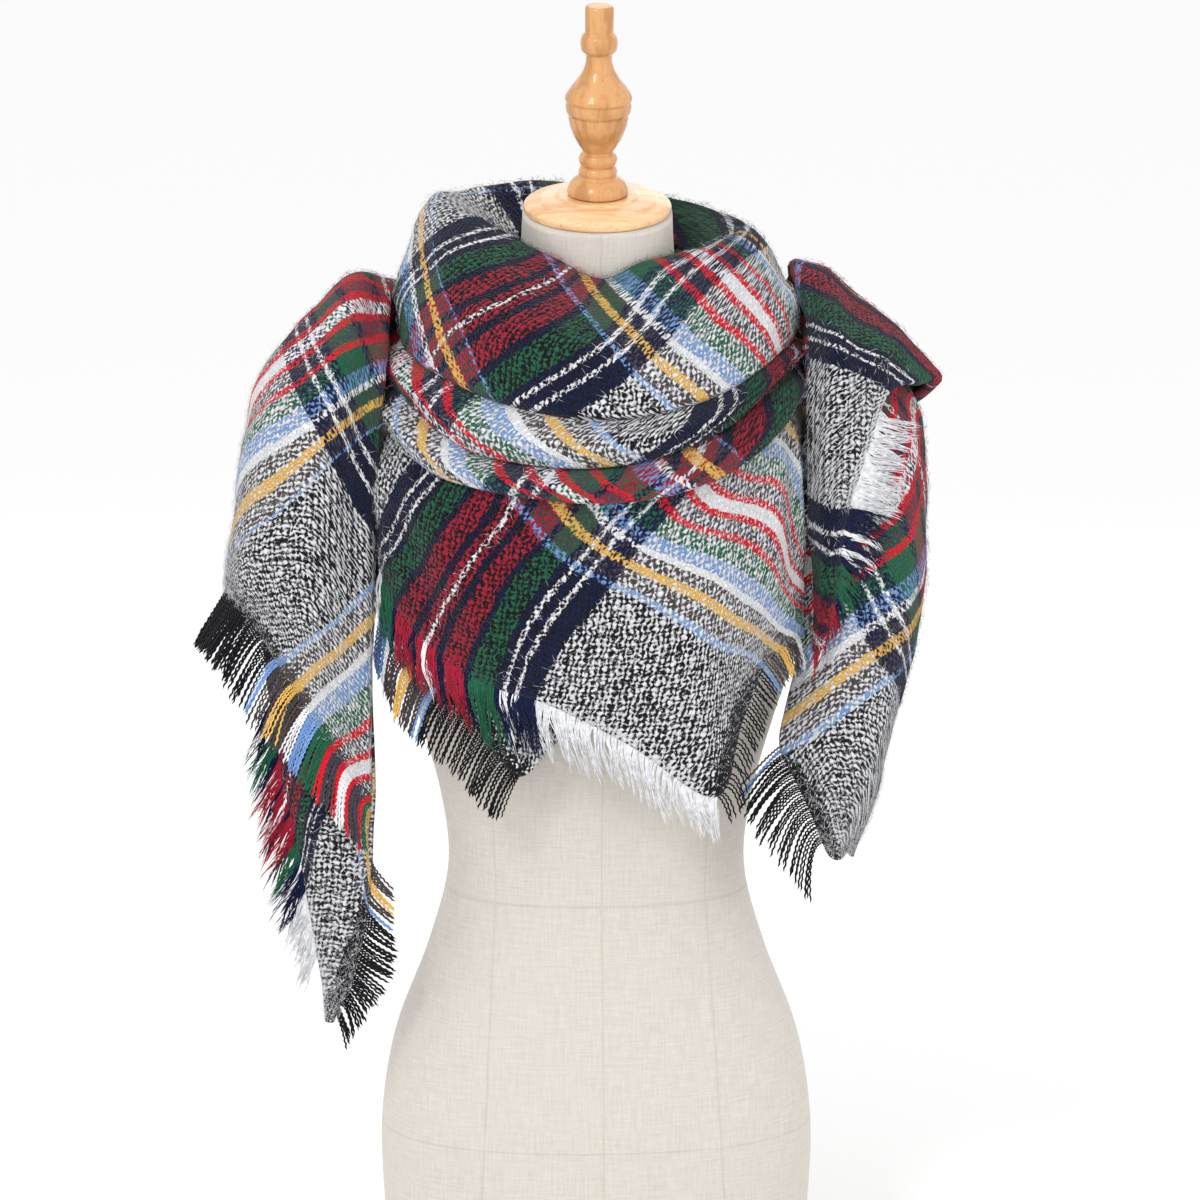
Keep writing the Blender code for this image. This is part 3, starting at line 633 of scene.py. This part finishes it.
def lacquered_wood(name, across_grain, along_grain, pale, deep):
    """Honey-coloured wood under a clear gloss. The two vectors stretch the grain."""
    finish = Finish(name)
    finish.constants(Coat_Roughness=0.05, Coat_IOR=1.4, Specular_IOR_Level=0.3)
    place = finish.node("ShaderNodeTexCoord", {}, {}, output=3)
    mapped = finish.node("ShaderNodeMapping", {}, {"Vector": place, "Scale": across_grain})
    fine = finish.node("ShaderNodeMapping", {}, {"Vector": place, "Scale": along_grain})
    figure = finish.noise(mapped, 1.0, 4.0, 0.6)
    rings = ((figure * 42.0).sine() * 0.5 + 0.5).power(1.4)
    pores = finish.noise(fine, 1.0, 3.0, 0.7)
    colour = finish.mix(rings * 0.7, pale, deep)
    colour = finish.mix(pores.between(0.5, 0.74) * 0.5, colour, (0.34, 0.14, 0.04))
    finish.surface("Base Color", colour)
    finish.surface("Roughness", 0.30 + pores * 0.2)
    finish.surface("Coat Weight", 0.5 + pores * 0.1)
    finish.bump(figure * 0.4 + pores * 0.25, 0.0006, 0.12)
    return finish.made


def pale_floor():
    finish = Finish("pale_floor")
    finish.constants(Base_Color=(0.93, 0.93, 0.93, 1), Roughness=0.9, Specular_IOR_Level=0.1)
    return finish.made


def smooth_curve(places, count, closed):
    """Points of a Catmull-Rom curve through places, which may be a row of sections.

    A closed curve ends on the point where it starts.
    """
    places = np.asarray(places, float)
    spans = len(places) if closed else len(places) - 1
    at = np.linspace(0, spans, count)
    first = np.minimum(at.astype(int), spans - 1)
    part = (at - first).reshape((-1,) + (1,) * (places.ndim - 1))
    if not closed:
        before = 2 * places[0] - places[1]
        after = 2 * places[-1] - places[-2]
        places = np.concatenate([[before], places, [after]])
        first = first + 1
    a, b, c, d = (places[(first + step) % len(places)] for step in (-1, 0, 1, 2))
    bend = -a + 3 * b - 3 * c + d
    pull = 2 * a - 5 * b + 4 * c - d
    return 0.5 * (2 * b + (c - a) * part + pull * part**2 + bend * part**3)


def smooth_surface(net, rows, columns, closed=False):
    """The net's smooth surface in metres, as an array of rows, columns and places."""
    lengthways = smooth_curve(net, rows, closed)
    across = smooth_curve(np.swapaxes(lengthways, 0, 1), columns, False)
    return np.swapaxes(across, 0, 1) * MM


def polar(angle, distance, height):
    turn = math.radians(angle)
    return (distance * math.sin(turn), -distance * math.cos(turn), height)


def loop_net(table):
    return [[polar(angle, *place) for place in places] for angle, *places in table]


def edge_at(places, angle):
    """Distance and height at an angle of an edge given as (angle, distance, height) places."""
    angles, distances, heights = zip(*sorted(places))
    return np.interp(angle, angles, distances), np.interp(angle, angles, heights)


def roll_net(edge, edge_above):
    """A roll that is tucked behind the edge above it, swells, and turns in at its own edge."""
    net = []
    for angle, distance, height in edge:
        far, high = edge_at(edge_above, angle)
        swell = max(distance, far - 4) + ROLL_BELLY[0]
        net.append([
            polar(angle, far - ROLL_TUCK[0], high + ROLL_TUCK[1]),
            polar(angle, far - ROLL_CREASE[0], high + ROLL_CREASE[1]),
            polar(angle, swell, height + ROLL_BELLY[1] * (high - height)),
            polar(angle, distance, height),
        ])
    return net


def bib_net(table, low_edge, tuck):
    """A hanging corner, which starts behind the low roll's edge."""
    net = []
    for chest, waist, hem in table:
        angle = math.degrees(math.atan2(chest[0], -chest[1]))
        distance, height = edge_at(low_edge, angle)
        net.append([polar(angle, distance - tuck, height + BIB_RISE), chest, waist, hem])
    return net


def scarf_nets():
    """Each stretch's net. The loop starts behind the neck, where its seam is hidden."""
    top_edge = [(angle - 360 * (angle > 180), *places[-1]) for angle, *places in COWL_TOP]
    behind = len(COWL_TOP) // 2
    top_edge.append((-180, *COWL_TOP[behind][-1]))
    mid_edge = [(angle, *mid) for angle, mid, _ in ROLLS]
    low_edge = [(angle, *low) for angle, _, low in ROLLS]
    loop = loop_net(COWL_TOP)
    return {
        "cowl_top": loop[behind:] + loop[:behind],
        "cowl_mid": roll_net(mid_edge, top_edge),
        "cowl_low": roll_net(low_edge, mid_edge),
        "nape_band": loop_net(NAPE),
        "bib_front": bib_net(BIB_FRONT, low_edge, FRONT_TUCK),
        "bib_back": bib_net(BIB_BACK, low_edge, BACK_TUCK),
        "tail_left": TAIL_LEFT,
        "tail_left_under": TAIL_LEFT_UNDER,
        "tail_right": TAIL_RIGHT,
        "tail_right_fold": TAIL_RIGHT_FOLD,
    }


def lengths(places):
    """How long a row of places is, in metres."""
    return np.linalg.norm(np.diff(places, axis=0), axis=-1).sum(axis=0)


def paced(places):
    """Distances over a grid of places from its first column and from its first row."""
    flats = []
    for axis in (1, 0):
        steps = np.linalg.norm(np.diff(places, axis=axis), axis=-1)
        start = np.zeros_like(np.take(steps, [0], axis=axis))
        flats.append(np.concatenate([start, np.cumsum(steps, axis=axis)], axis=axis))
    return np.stack(flats, axis=-1)


def outward_normals(places):
    """Unit normals of a grid of places, all on the side away from the form's upright axis."""
    along = np.gradient(places, axis=0)
    across = np.gradient(places, axis=1)
    normals = np.cross(along, across)
    normals /= np.linalg.norm(normals, axis=-1, keepdims=True) + 1e-12
    outward = places * (1, 1, 0)
    return normals * np.sign((normals * outward).sum())


def slow_ripple(places):
    """Slow unevenness between about -1 and 1, from waves in several directions."""
    height = np.zeros(places.shape[:2])
    for turn, wave, phase in ((0.3, 58, 0.2), (1.4, 83, 1.9), (2.2, 46, 4.1), (3.0, 117, 2.6), (0.9, 37, 5.3)):
        axis = np.array((math.cos(turn), 0.7 * math.sin(turn), math.sin(turn)))
        height += np.sin(places @ axis / (wave * MM) * 2 * math.pi + phase)
    return height / 3


def shaped(name, net, rows, columns, closed):
    """A stretch's surface with its creases and its slow unevenness."""
    places = smooth_surface(net, rows, columns, closed)
    normals = outward_normals(places)
    height = RIPPLE * slow_ripple(places)
    for start, end, width, rise in CREASES[name]:
        steps = np.linspace(0, 1, CREASE_STEPS)
        line = np.outer(1 - steps, start) + np.outer(steps, end)
        row = np.rint(line[:, 0] * (rows - 1)).astype(int)
        column = np.rint(line[:, 1] * (columns - 1)).astype(int)
        spine = places[row, column]
        gaps = np.linalg.norm(places[:, :, None] - spine, axis=-1)
        strength = np.sin(math.pi * (0.12 + 0.76 * steps)) ** 0.8
        falloff = np.exp(-((gaps / (width * MM)) ** 2)) * strength
        height += rise * falloff.max(axis=-1)
    if closed:
        height[-1] = height[0]
        normals[-1] = normals[0]
    return places + normals * height[..., None] * MM


def turned_under(places, cut, turn, steps=6):
    """The sheet with one of its long edges curled in towards the form."""
    normals = outward_normals(places)
    if turn.edge == "start":
        places, cut, normals = (np.swapaxes(grid, 0, 1) for grid in (places, cut, normals))
    if turn.edge != "last":
        places, cut, normals = places[:, ::-1], cut[:, ::-1], normals[:, ::-1]
    normals = normals[:, -1]
    onward = places[:, -1] - places[:, -3]
    onward /= np.linalg.norm(onward, axis=1, keepdims=True) + 1e-9
    normals -= onward * (normals * onward).sum(axis=1, keepdims=True)
    normals /= np.linalg.norm(normals, axis=1, keepdims=True) + 1e-9
    drift = cut[:, -1] - cut[:, -2]
    drift /= np.linalg.norm(drift, axis=1, keepdims=True) + 1e-9
    share = np.linspace(0, 1, len(places))
    fade = np.clip((share - turn.flatter) / (turn.flat - turn.flatter), 0, 1)
    radius = (turn.radius * (1 - fade) + 0.2)[:, None] * MM
    more_places, more_cut = [], []
    for step in range(1, steps + 1):
        angle = math.radians(TURN_DEGREES) * step / steps
        bend = onward * math.sin(angle) - normals * (1 - math.cos(angle))
        more_places.append(places[:, -1] + bend * radius)
        more_cut.append(cut[:, -1] + drift * radius * angle)
    places = np.concatenate([places, np.stack(more_places, axis=1)], axis=1)
    cut = np.concatenate([cut, np.stack(more_cut, axis=1)], axis=1)
    if turn.edge != "last":
        places, cut = places[:, ::-1], cut[:, ::-1]
    if turn.edge == "start":
        places, cut = np.swapaxes(places, 0, 1), np.swapaxes(cut, 0, 1)
    return places, cut


def grid_mesh(places):
    """A mesh on a grid of places, and the row and column of each of its vertices."""
    rows, columns = places.shape[:2]
    mesh = bmesh.new()
    bmesh.ops.create_grid(mesh, x_segments=rows - 1, y_segments=columns - 1, size=1.0)
    spots = {}
    for vertex in mesh.verts:
        spot = (round((vertex.co.x + 1) / 2 * (rows - 1)), round((vertex.co.y + 1) / 2 * (columns - 1)))
        spots[vertex] = spot
        vertex.co = places[spot]
    return mesh, spots


def grid_piece(name, places, layers, material, joined=False):
    """A sheet on a grid of places, with UV maps in metres."""
    mesh, spots = grid_mesh(places)
    flats = [(mesh.loops.layers.uv.new(layer), values) for layer, values in layers.items()]
    for face in mesh.faces:
        for loop in face.loops:
            for flat, values in flats:
                loop[flat].uv = values[spots[loop.vert]]
    if joined:
        bmesh.ops.remove_doubles(mesh, verts=mesh.verts, dist=MERGE)
    mesh.normal_update()
    facing = sum(face.normal.dot(face.calc_center_median() * Vector((1, 1, 0))) for face in mesh.faces)
    if facing < 0:
        bmesh.ops.reverse_faces(mesh, faces=mesh.faces)
    return mesh_piece(name, mesh, material)


def mesh_piece(name, mesh, material):
    data = bpy.data.meshes.new(name)
    mesh.to_mesh(data)
    mesh.free()
    data.shade_smooth()
    data.materials.append(material)
    made = bpy.data.objects.new(name, data)
    bpy.context.scene.collection.objects.link(made)
    return made


def make_stretch(name, net, material):
    """One stretch of the scarf, its grid with the turned edge and without, and its places on the flat cloth."""
    closed = name == "cowl_top"
    coarse = smooth_surface(net, 60, 20, closed)
    rows = round(lengths(coarse).max() / (GRID_PITCH * MM))
    columns = round(lengths(np.swapaxes(coarse, 0, 1)).max() / (GRID_PITCH * MM))
    places = shaped(name, net, rows, columns, closed)
    cut = smooth_surface(CUTS[name], rows, columns)
    whole, whole_cut = places, cut
    for turn in TURNED.get(name, []):
        whole, whole_cut = turned_under(whole, whole_cut, turn)
    layers = {"stripes": whole_cut, "yarns": paced(whole)}
    piece = grid_piece(name + "_cloth", whole, layers, material, closed)
    wall = piece.modifiers.new("wall", "SOLIDIFY")
    wall.thickness = CLOTH
    wall.offset = 0.0
    return piece, whole, places, cut


def sideways_of(reach):
    """Two unit directions square to a strand's reach: one across the cloth's face and one through it."""
    side = np.cross(reach, (0.25, 1, 0.1))
    side /= np.linalg.norm(side) + 1e-9
    depth = np.cross(reach, side)
    return side, depth / (np.linalg.norm(depth) + 1e-9)


def leaving(root, start, reach, share):
    """A curve that leaves the cloth in the direction of its yarns and ends at its reach."""
    share = share[:, None]
    bow = start * np.linalg.norm(reach) * LEAVING_BOW
    return root + 2 * share * (1 - share) * bow + share**2 * reach


def crimped_yarn(root, start, reach, rng, radius):
    """One hard yarn that keeps the bends of the weave."""
    length = np.linalg.norm(reach)
    count = max(8, round(length / (BEND_PITCH * MM)))
    share = np.linspace(0, 1, count)
    side, depth = sideways_of(reach)
    bends = np.where(np.arange(count) % 2, BEND_HEIGHT, -BEND_HEIGHT) * MM
    sway = np.sin(share * rng.uniform(1.5, 4) + rng.uniform(0, 6)) * rng.uniform(0.2, 1.5) * MM * share
    path = leaving(root, start, reach, share) + np.outer(bends + sway, side)
    path += np.outer(np.sin(share * 4 + rng.uniform(0, 6)) * rng.uniform(0.2, 1.4) * MM * share, depth)
    path[:, 2] -= 0.05 * length * share**2
    return [(path, np.full(count, radius * MM))]


def brushed_lock(root, start, reach, rng, along, hairs=9, points=13):
    """Soft yarns that cling together in a wavy lock, which spreads a little and thins to its tip."""
    length = np.linalg.norm(reach)
    share = np.linspace(0, 1, points)
    side, depth = sideways_of(reach)
    wave = np.sin(share * rng.uniform(3.5, 7.5) + rng.uniform(0, 6)) * rng.uniform(1.2, 3.8) * MM * share**0.7
    swing = np.sin(share * rng.uniform(2, 5) + rng.uniform(0, 6)) * rng.uniform(0.5, 2.5) * MM * share
    spine = leaving(root, start, reach, share) + np.outer(wave, side) + np.outer(swing, depth)
    spine[:, 2] -= 0.08 * length * share**2
    strands = []
    for _ in range(hairs):
        apart = rng.uniform(-3.0, 3.0) * MM
        narrow = np.interp(share, (0, 0.55, 1), (1, 0.55, rng.uniform(0.1, 0.7)))
        curl = np.sin(share * rng.uniform(7, 15) + rng.uniform(0, 6)) * rng.uniform(0.2, 1.1) * MM * share
        coil = np.cos(share * rng.uniform(7, 15) + rng.uniform(0, 6)) * rng.uniform(0.2, 1.0) * MM * share
        end = rng.uniform(0.6, 1.12)
        path = root + (spine - root) * end + np.outer(apart * narrow, along)
        path += np.outer(curl, side) + np.outer(coil + rng.normal(0, 0.5) * MM * share, depth)
        strands.append((path, np.interp(share, (0, 0.4, 1), (0.62, 0.5, 0.22)) * MM))
    return strands


def yarn_piece(name, strands, material):
    """Thin tubes along paths, each with its radius and its place on the flat cloth."""
    curve = bpy.data.curves.new(name, "CURVE")
    curve.dimensions = "3D"
    curve.bevel_depth = 1.0
    curve.bevel_resolution = 0
    for path, radii, _ in strands:
        spline = curve.splines.new("POLY")
        spline.points.add(len(path) - 1)
        spline.points.foreach_set("co", np.column_stack([path, np.ones(len(path))]).ravel())
        spline.points.foreach_set("radius", np.concatenate([[0], radii[1:-1], [0]]))
    carrier = bpy.data.objects.new(name, curve)
    bpy.context.scene.collection.objects.link(carrier)
    data = bpy.data.meshes.new_from_object(carrier.evaluated_get(bpy.context.evaluated_depsgraph_get()))
    bpy.data.objects.remove(carrier)
    while data.uv_layers:
        data.uv_layers.remove(data.uv_layers[0])
    flat = data.uv_layers.new(name="stripes")
    per_corner = np.concatenate([[spot] * (len(path) * 4) for path, _, spot in strands])
    corners = np.zeros(len(data.loops), dtype=int)
    data.loops.foreach_get("vertex_index", corners)
    flat.uv.foreach_set("vector", per_corner[corners].ravel())
    mesh = bmesh.new()
    mesh.from_mesh(data)
    bpy.data.meshes.remove(data)
    bmesh.ops.remove_doubles(mesh, verts=mesh.verts, dist=0.000001)
    return mesh_piece(name, mesh, material)


def edge_of(grid, edge):
    return {"last_column": grid[:, -1], "first_column": grid[:, 0], "last_row": grid[-1]}[edge]


def yarn_ways(places, cut, edge, crosswise):
    """The direction in which the yarns leave the cloth at each place along one of its edges."""
    along, across = np.gradient(places, axis=0), np.gradient(places, axis=1)
    stripe = cut[..., 1 if crosswise else 0]
    change_along, change_across = np.gradient(stripe, axis=0), np.gradient(stripe, axis=1)
    ways = along * change_across[..., None] - across * change_along[..., None]
    if edge == "last_row":
        ways *= np.sign(change_across)[..., None]
    elif edge == "last_column":
        ways *= -np.sign(change_along)[..., None]
    else:
        ways *= np.sign(change_along)[..., None]
    ways = edge_of(ways, edge)
    return ways / (np.linalg.norm(ways, axis=1, keepdims=True) + 1e-9)


def make_fringe(row, places, cut, material, seed):
    """The strands along part of a stretch's edge, spaced by the yarns of the flat cloth."""
    rng = np.random.default_rng(seed)
    crimped = row.name in CRIMPED
    pitch, radius = CRIMPED.get(row.name, (CLOSE_LOCKS.get(row.name, LOCK_PITCH), None))
    rim, flat = edge_of(places, row.edge), edge_of(cut, row.edge)
    ways = yarn_ways(places, cut, row.edge, crimped)
    at = np.arange(len(rim)) / (len(rim) - 1)
    inside = (at >= row.start) & (at <= row.end)
    count = round(max(lengths(flat[inside]), lengths(rim[inside])) / (pitch * MM))
    reaches = np.array([row.first, row.middle, row.last], float) * MM
    strands = []
    for number in range(count):
        share = (number + 0.5 + rng.uniform(-0.25, 0.25)) / count
        place = row.start + (row.end - row.start) * share
        root, ahead, spot, way = (
            np.array([np.interp(where, at, line[:, axis]) for axis in range(line.shape[1])])
            for where, line in ((place, rim), (place + 0.01, rim), (place, flat), (place, ways)))
        reach = np.array([np.interp(share, (0, 0.5, 1), reaches[:, axis]) for axis in range(3)])
        along = (ahead - root) / (np.linalg.norm(ahead - root) + 1e-9)
        reach = reach * rng.uniform(0.9, 1.07) + along * np.linalg.norm(reach) * rng.normal(0, 0.035)
        start = way if way @ reach > 0 else reach / np.linalg.norm(reach)
        root = root - start * 1.5 * MM
        if crimped:
            grown = crimped_yarn(root, start, reach, rng, radius)
        else:
            grown = brushed_lock(root, start, reach, rng, along)
        strands += [(path, radii, spot) for path, radii in grown]
    return yarn_piece(row.name + "_yarns", strands, material)


def make_nap(name, places, cut, count, material, seed):
    """Fine loose fibres that stand a little off the brushed cloth."""
    rng = np.random.default_rng(seed)
    normals = outward_normals(places)
    rows, columns = places.shape[:2]
    strands = []
    for _ in range(count):
        row, column = rng.integers(1, rows - 1), rng.integers(1, columns - 1)
        normal = normals[row, column]
        drift = rng.normal(0, 1, 3)
        drift -= normal * (drift @ normal)
        drift /= np.linalg.norm(drift)
        length = rng.uniform(*NAP_LENGTHS) * MM
        rise = rng.uniform(0.15, 0.4)
        share = np.array((0.0, 0.5, 1.0))
        jitter = rng.uniform(-2, 2, 2) * MM
        base = places[row, column] + drift * jitter[0] + normal * (0.5 * CLOTH - 0.0003)
        path = base + np.outer(share, drift * length) + np.outer(np.sin(share * 2.2), normal * length * rise)
        radii = np.full(3, NAP_RADIUS) * MM
        strands.append((path, radii, cut[row, column]))
    return yarn_piece(name + "_nap", strands, material)


def body_section(row, sides):
    """One level of the form, from the front round by +X and back to the front, in metres."""
    places = []
    for step in range(sides + 1):
        turn = 2 * math.pi * (step % sides) / sides
        across, deep = math.sin(turn), -math.cos(turn)
        power = 2 / BODY_ROUNDNESS
        x = math.copysign(abs(across) ** power, across) * row.half_width
        y = math.copysign(abs(deep) ** power, deep) * (row.front if deep < 0 else row.back)
        z = row.height + y * math.tan(math.radians(row.tilt))
        places.append((x, y + row.shift, z))
    return np.array(places) * MM


def panel_places(section, row):
    """How far round a level each place is: 0 at the front seam, a whole number at each seam, and up to 8."""
    seam = np.interp(row.height, FRONT_SEAM_LEVELS, FRONT_SEAM_PLACES) * MM
    around = np.concatenate([[0], np.cumsum(np.linalg.norm(np.diff(section, axis=0), axis=1))])
    quarter = len(section) // 4
    rising = section[: quarter + 1, 0]
    front = np.interp(seam, rising, around[: quarter + 1])
    whole, side = around[-1], around[quarter]
    back = whole / 2 - BACK_SEAM * front
    marks = [0, front, side, back, whole / 2, whole - back, whole - side, whole - front, whole]
    return around, np.interp(around, marks, range(9))


def make_cover(material, sides=192, levels=170):
    """The linen cover, with one UV map along its threads and one that counts its panels."""
    rows = [BodyRow(*values) for values in smooth_curve(BODY, levels, False)]
    sections = np.array([body_section(row, sides) for row in rows])
    threads = np.zeros((2,) + sections.shape[:2] + (2,))
    panels = np.zeros_like(threads[0])
    for level, row in enumerate(rows):
        around, panels[level, :, 0] = panel_places(sections[level], row)
        whole = around[-1]
        threads[0, level, :, 0] = np.where(around > whole / 2, around - whole, around)
        threads[1, level, :, 0] = around - whole / 2 + 1
        threads[:, level, :, 1] = row.height * MM
        panels[level, :, 1] = np.interp(row.height, LEVEL_SEAMS, (0.0, 1.0, 2.0, 2.9))
    mesh, spots = grid_mesh(sections)
    along_threads, by_panel = (mesh.loops.layers.uv.new(name) for name in ("threads", "panels"))
    for face in mesh.faces:
        round_form = sum(spots[vertex][1] for vertex in face.verts) / 4
        behind = int(sides / 4 < round_form < sides * 3 / 4)
        for loop in face.loops:
            loop[along_threads].uv = threads[behind][spots[loop.vert]]
            loop[by_panel].uv = panels[spots[loop.vert]]
    bmesh.ops.remove_doubles(mesh, verts=mesh.verts, dist=MERGE)
    bmesh.ops.holes_fill(mesh, edges=[edge for edge in mesh.edges if edge.is_boundary], sides=sides)
    bmesh.ops.recalc_face_normals(mesh, faces=mesh.faces)
    return mesh_piece("linen_cover", mesh, material)


def eased(outline, passes=3, reach=0.9):
    """An outline with its corners cut back again and again, until it is round."""
    places = [Vector(place) for place in outline]
    for _ in range(passes):
        rounder = [places[0]]
        for before, corner, after in zip(places, places[1:], places[2:]):
            for towards in (before, after):
                gap = towards - corner
                rounder.append(corner + gap * min(0.22, reach / gap.length))
        places = [*rounder, places[-1]]
        reach /= 2.5
    return places


def make_turned(name, outline, height, material, steps=96):
    """A piece turned from its outline, standing on the tilted neck at a height above it."""
    mesh = bmesh.new()
    profile = [mesh.verts.new((place.x * MM, 0, place.y * MM)) for place in eased(outline)]
    edges = [mesh.edges.new(pair) for pair in zip(profile, profile[1:])]
    bmesh.ops.spin(mesh, geom=profile + edges, axis=UP, cent=(0, 0, 0), angle=2 * math.pi, steps=steps,
                   use_merge=True, use_duplicate=False)
    bmesh.ops.remove_doubles(mesh, verts=mesh.verts, dist=MERGE)
    bmesh.ops.recalc_face_normals(mesh, faces=mesh.faces)
    tilt = math.radians(NECK_TILT)
    lean = Matrix.Rotation(tilt, 4, "X")
    bmesh.ops.transform(mesh, matrix=Matrix.Translation(NECK_TOP + lean @ UP * height) @ lean, verts=mesh.verts)
    return mesh_piece(name, mesh, material)


def place_camera():
    turn, rise = math.radians(CAMERA_TURN), math.radians(CAMERA_RISE)
    back = Vector((math.sin(turn) * math.cos(rise), -math.cos(turn) * math.cos(rise), math.sin(rise)))
    data = bpy.data.cameras.new("camera")
    data.sensor_width = SENSOR
    data.lens = SENSOR * CAMERA_DISTANCE / CAMERA_WIDTH
    camera = bpy.data.objects.new("camera", data)
    camera.location = CAMERA_TARGET + back * CAMERA_DISTANCE
    camera.rotation_euler = back.to_track_quat("Z", "Y").to_euler()
    bpy.context.scene.collection.objects.link(camera)
    bpy.context.scene.camera = camera


def make_floor():
    mesh = bmesh.new()
    bmesh.ops.create_circle(mesh, cap_ends=True, segments=96, radius=30.0)
    bmesh.ops.translate(mesh, vec=(0, 0, -0.0005), verts=mesh.verts)
    floor = mesh_piece("floor", mesh, pale_floor())


def soft_light(name, place, size, power):
    data = bpy.data.lights.new(name, "AREA")
    data.shape = "DISK"
    data.size = size
    data.energy = power
    light = bpy.data.objects.new(name, data)
    light.location = place
    light.rotation_euler = (Vector(place) - Vector((0, 0, 0.6))).to_track_quat("Z", "Y").to_euler()
    bpy.context.scene.collection.objects.link(light)


def light_studio():
    world = bpy.data.worlds.new("studio")
    world.use_nodes = True
    world.node_tree.nodes["Background"].inputs["Color"].default_value = (1, 1, 1, 1)
    world.node_tree.nodes["Background"].inputs["Strength"].default_value = 1.03
    bpy.context.scene.world = world
    soft_light("key", (-1.4, -2.6, 2.6), 0.9, 38)
    soft_light("fill", (2.2, -1.8, 1.2), 1.6, 8)
    soft_light("rim", (0.6, 2.4, 2.0), 1.6, 6)
    bpy.context.scene.view_settings.view_transform = "Standard"


def belongs(piece, slot, *nodes):
    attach(piece, "root")
    if nodes:
        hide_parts(*nodes)


def flat_size(sheet):
    """The width, length and area in metres of a stretch, measured over its grid of places."""
    width, length = lengths(np.swapaxes(sheet, 0, 1)).max(), lengths(sheet).max()
    one, two = sheet[1:, 1:] - sheet[:-1, :-1], sheet[1:, :-1] - sheet[:-1, 1:]
    area = 0.5 * np.linalg.norm(np.cross(one, two), axis=-1).sum()
    return (float(width), float(length)), float(area)


def wind_scarf():
    """The stretches of cloth with their fringes and nap."""
    weave = tartan()
    hard_yarn = loose_yarn("crimped_fringe_yarn", CROSSWISE, True)
    soft_yarn = loose_yarn("brushed_fringe_yarn", LENGTHWAYS, False)
    stretches = {}
    for name, net in scarf_nets().items():
        piece, whole, places, cut = make_stretch(name, net, weave)
        belongs(piece, "weave", name)
        stretches[name] = (piece, whole, places, cut, [])
    for seed, row in enumerate(FRINGES):
        _, _, places, cut, loose = stretches[row.stretch]
        fringe = make_fringe(row, places, cut, hard_yarn if row.name in CRIMPED else soft_yarn, seed)
        belongs(fringe, "weave", row.name)
        loose.append(fringe)
    for seed, (name, count) in enumerate(NAP.items()):
        _, _, places, cut, loose = stretches[name]
        nap = make_nap(name, places, cut, count, soft_yarn, 50 + seed)
        belongs(nap, "weave")
        loose.append(nap)
    for name, (piece, whole, _, _, loose) in stretches.items():
        flat, area = flat_size(whole)


def main():
    place_camera()
    wind_scarf()
    belongs(make_cover(linen()), "linen", "form_body")
    cap_height = max(level for _, level in CAP_OUTLINE) * MM
    cap_wood = lacquered_wood(
        "honey_wood_cap", (2.4, 17, 17), (50, 900, 900), (0.88, 0.57, 0.31), (0.68, 0.36, 0.14))
    finial_wood = lacquered_wood(
        "honey_wood_finial", (16, 16, 3.4), (900, 900, 50), (0.66, 0.34, 0.13), (0.44, 0.19, 0.055))
    belongs(make_turned("turned_cap", CAP_OUTLINE, SEAM_GAP, cap_wood), "wood", "neck_cap")
    finial = make_turned("turned_finial", FINIAL_OUTLINE, cap_height + 2 * SEAM_GAP, finial_wood)
    belongs(finial, "wood", "finial")
    make_floor()
    light_studio()


main()
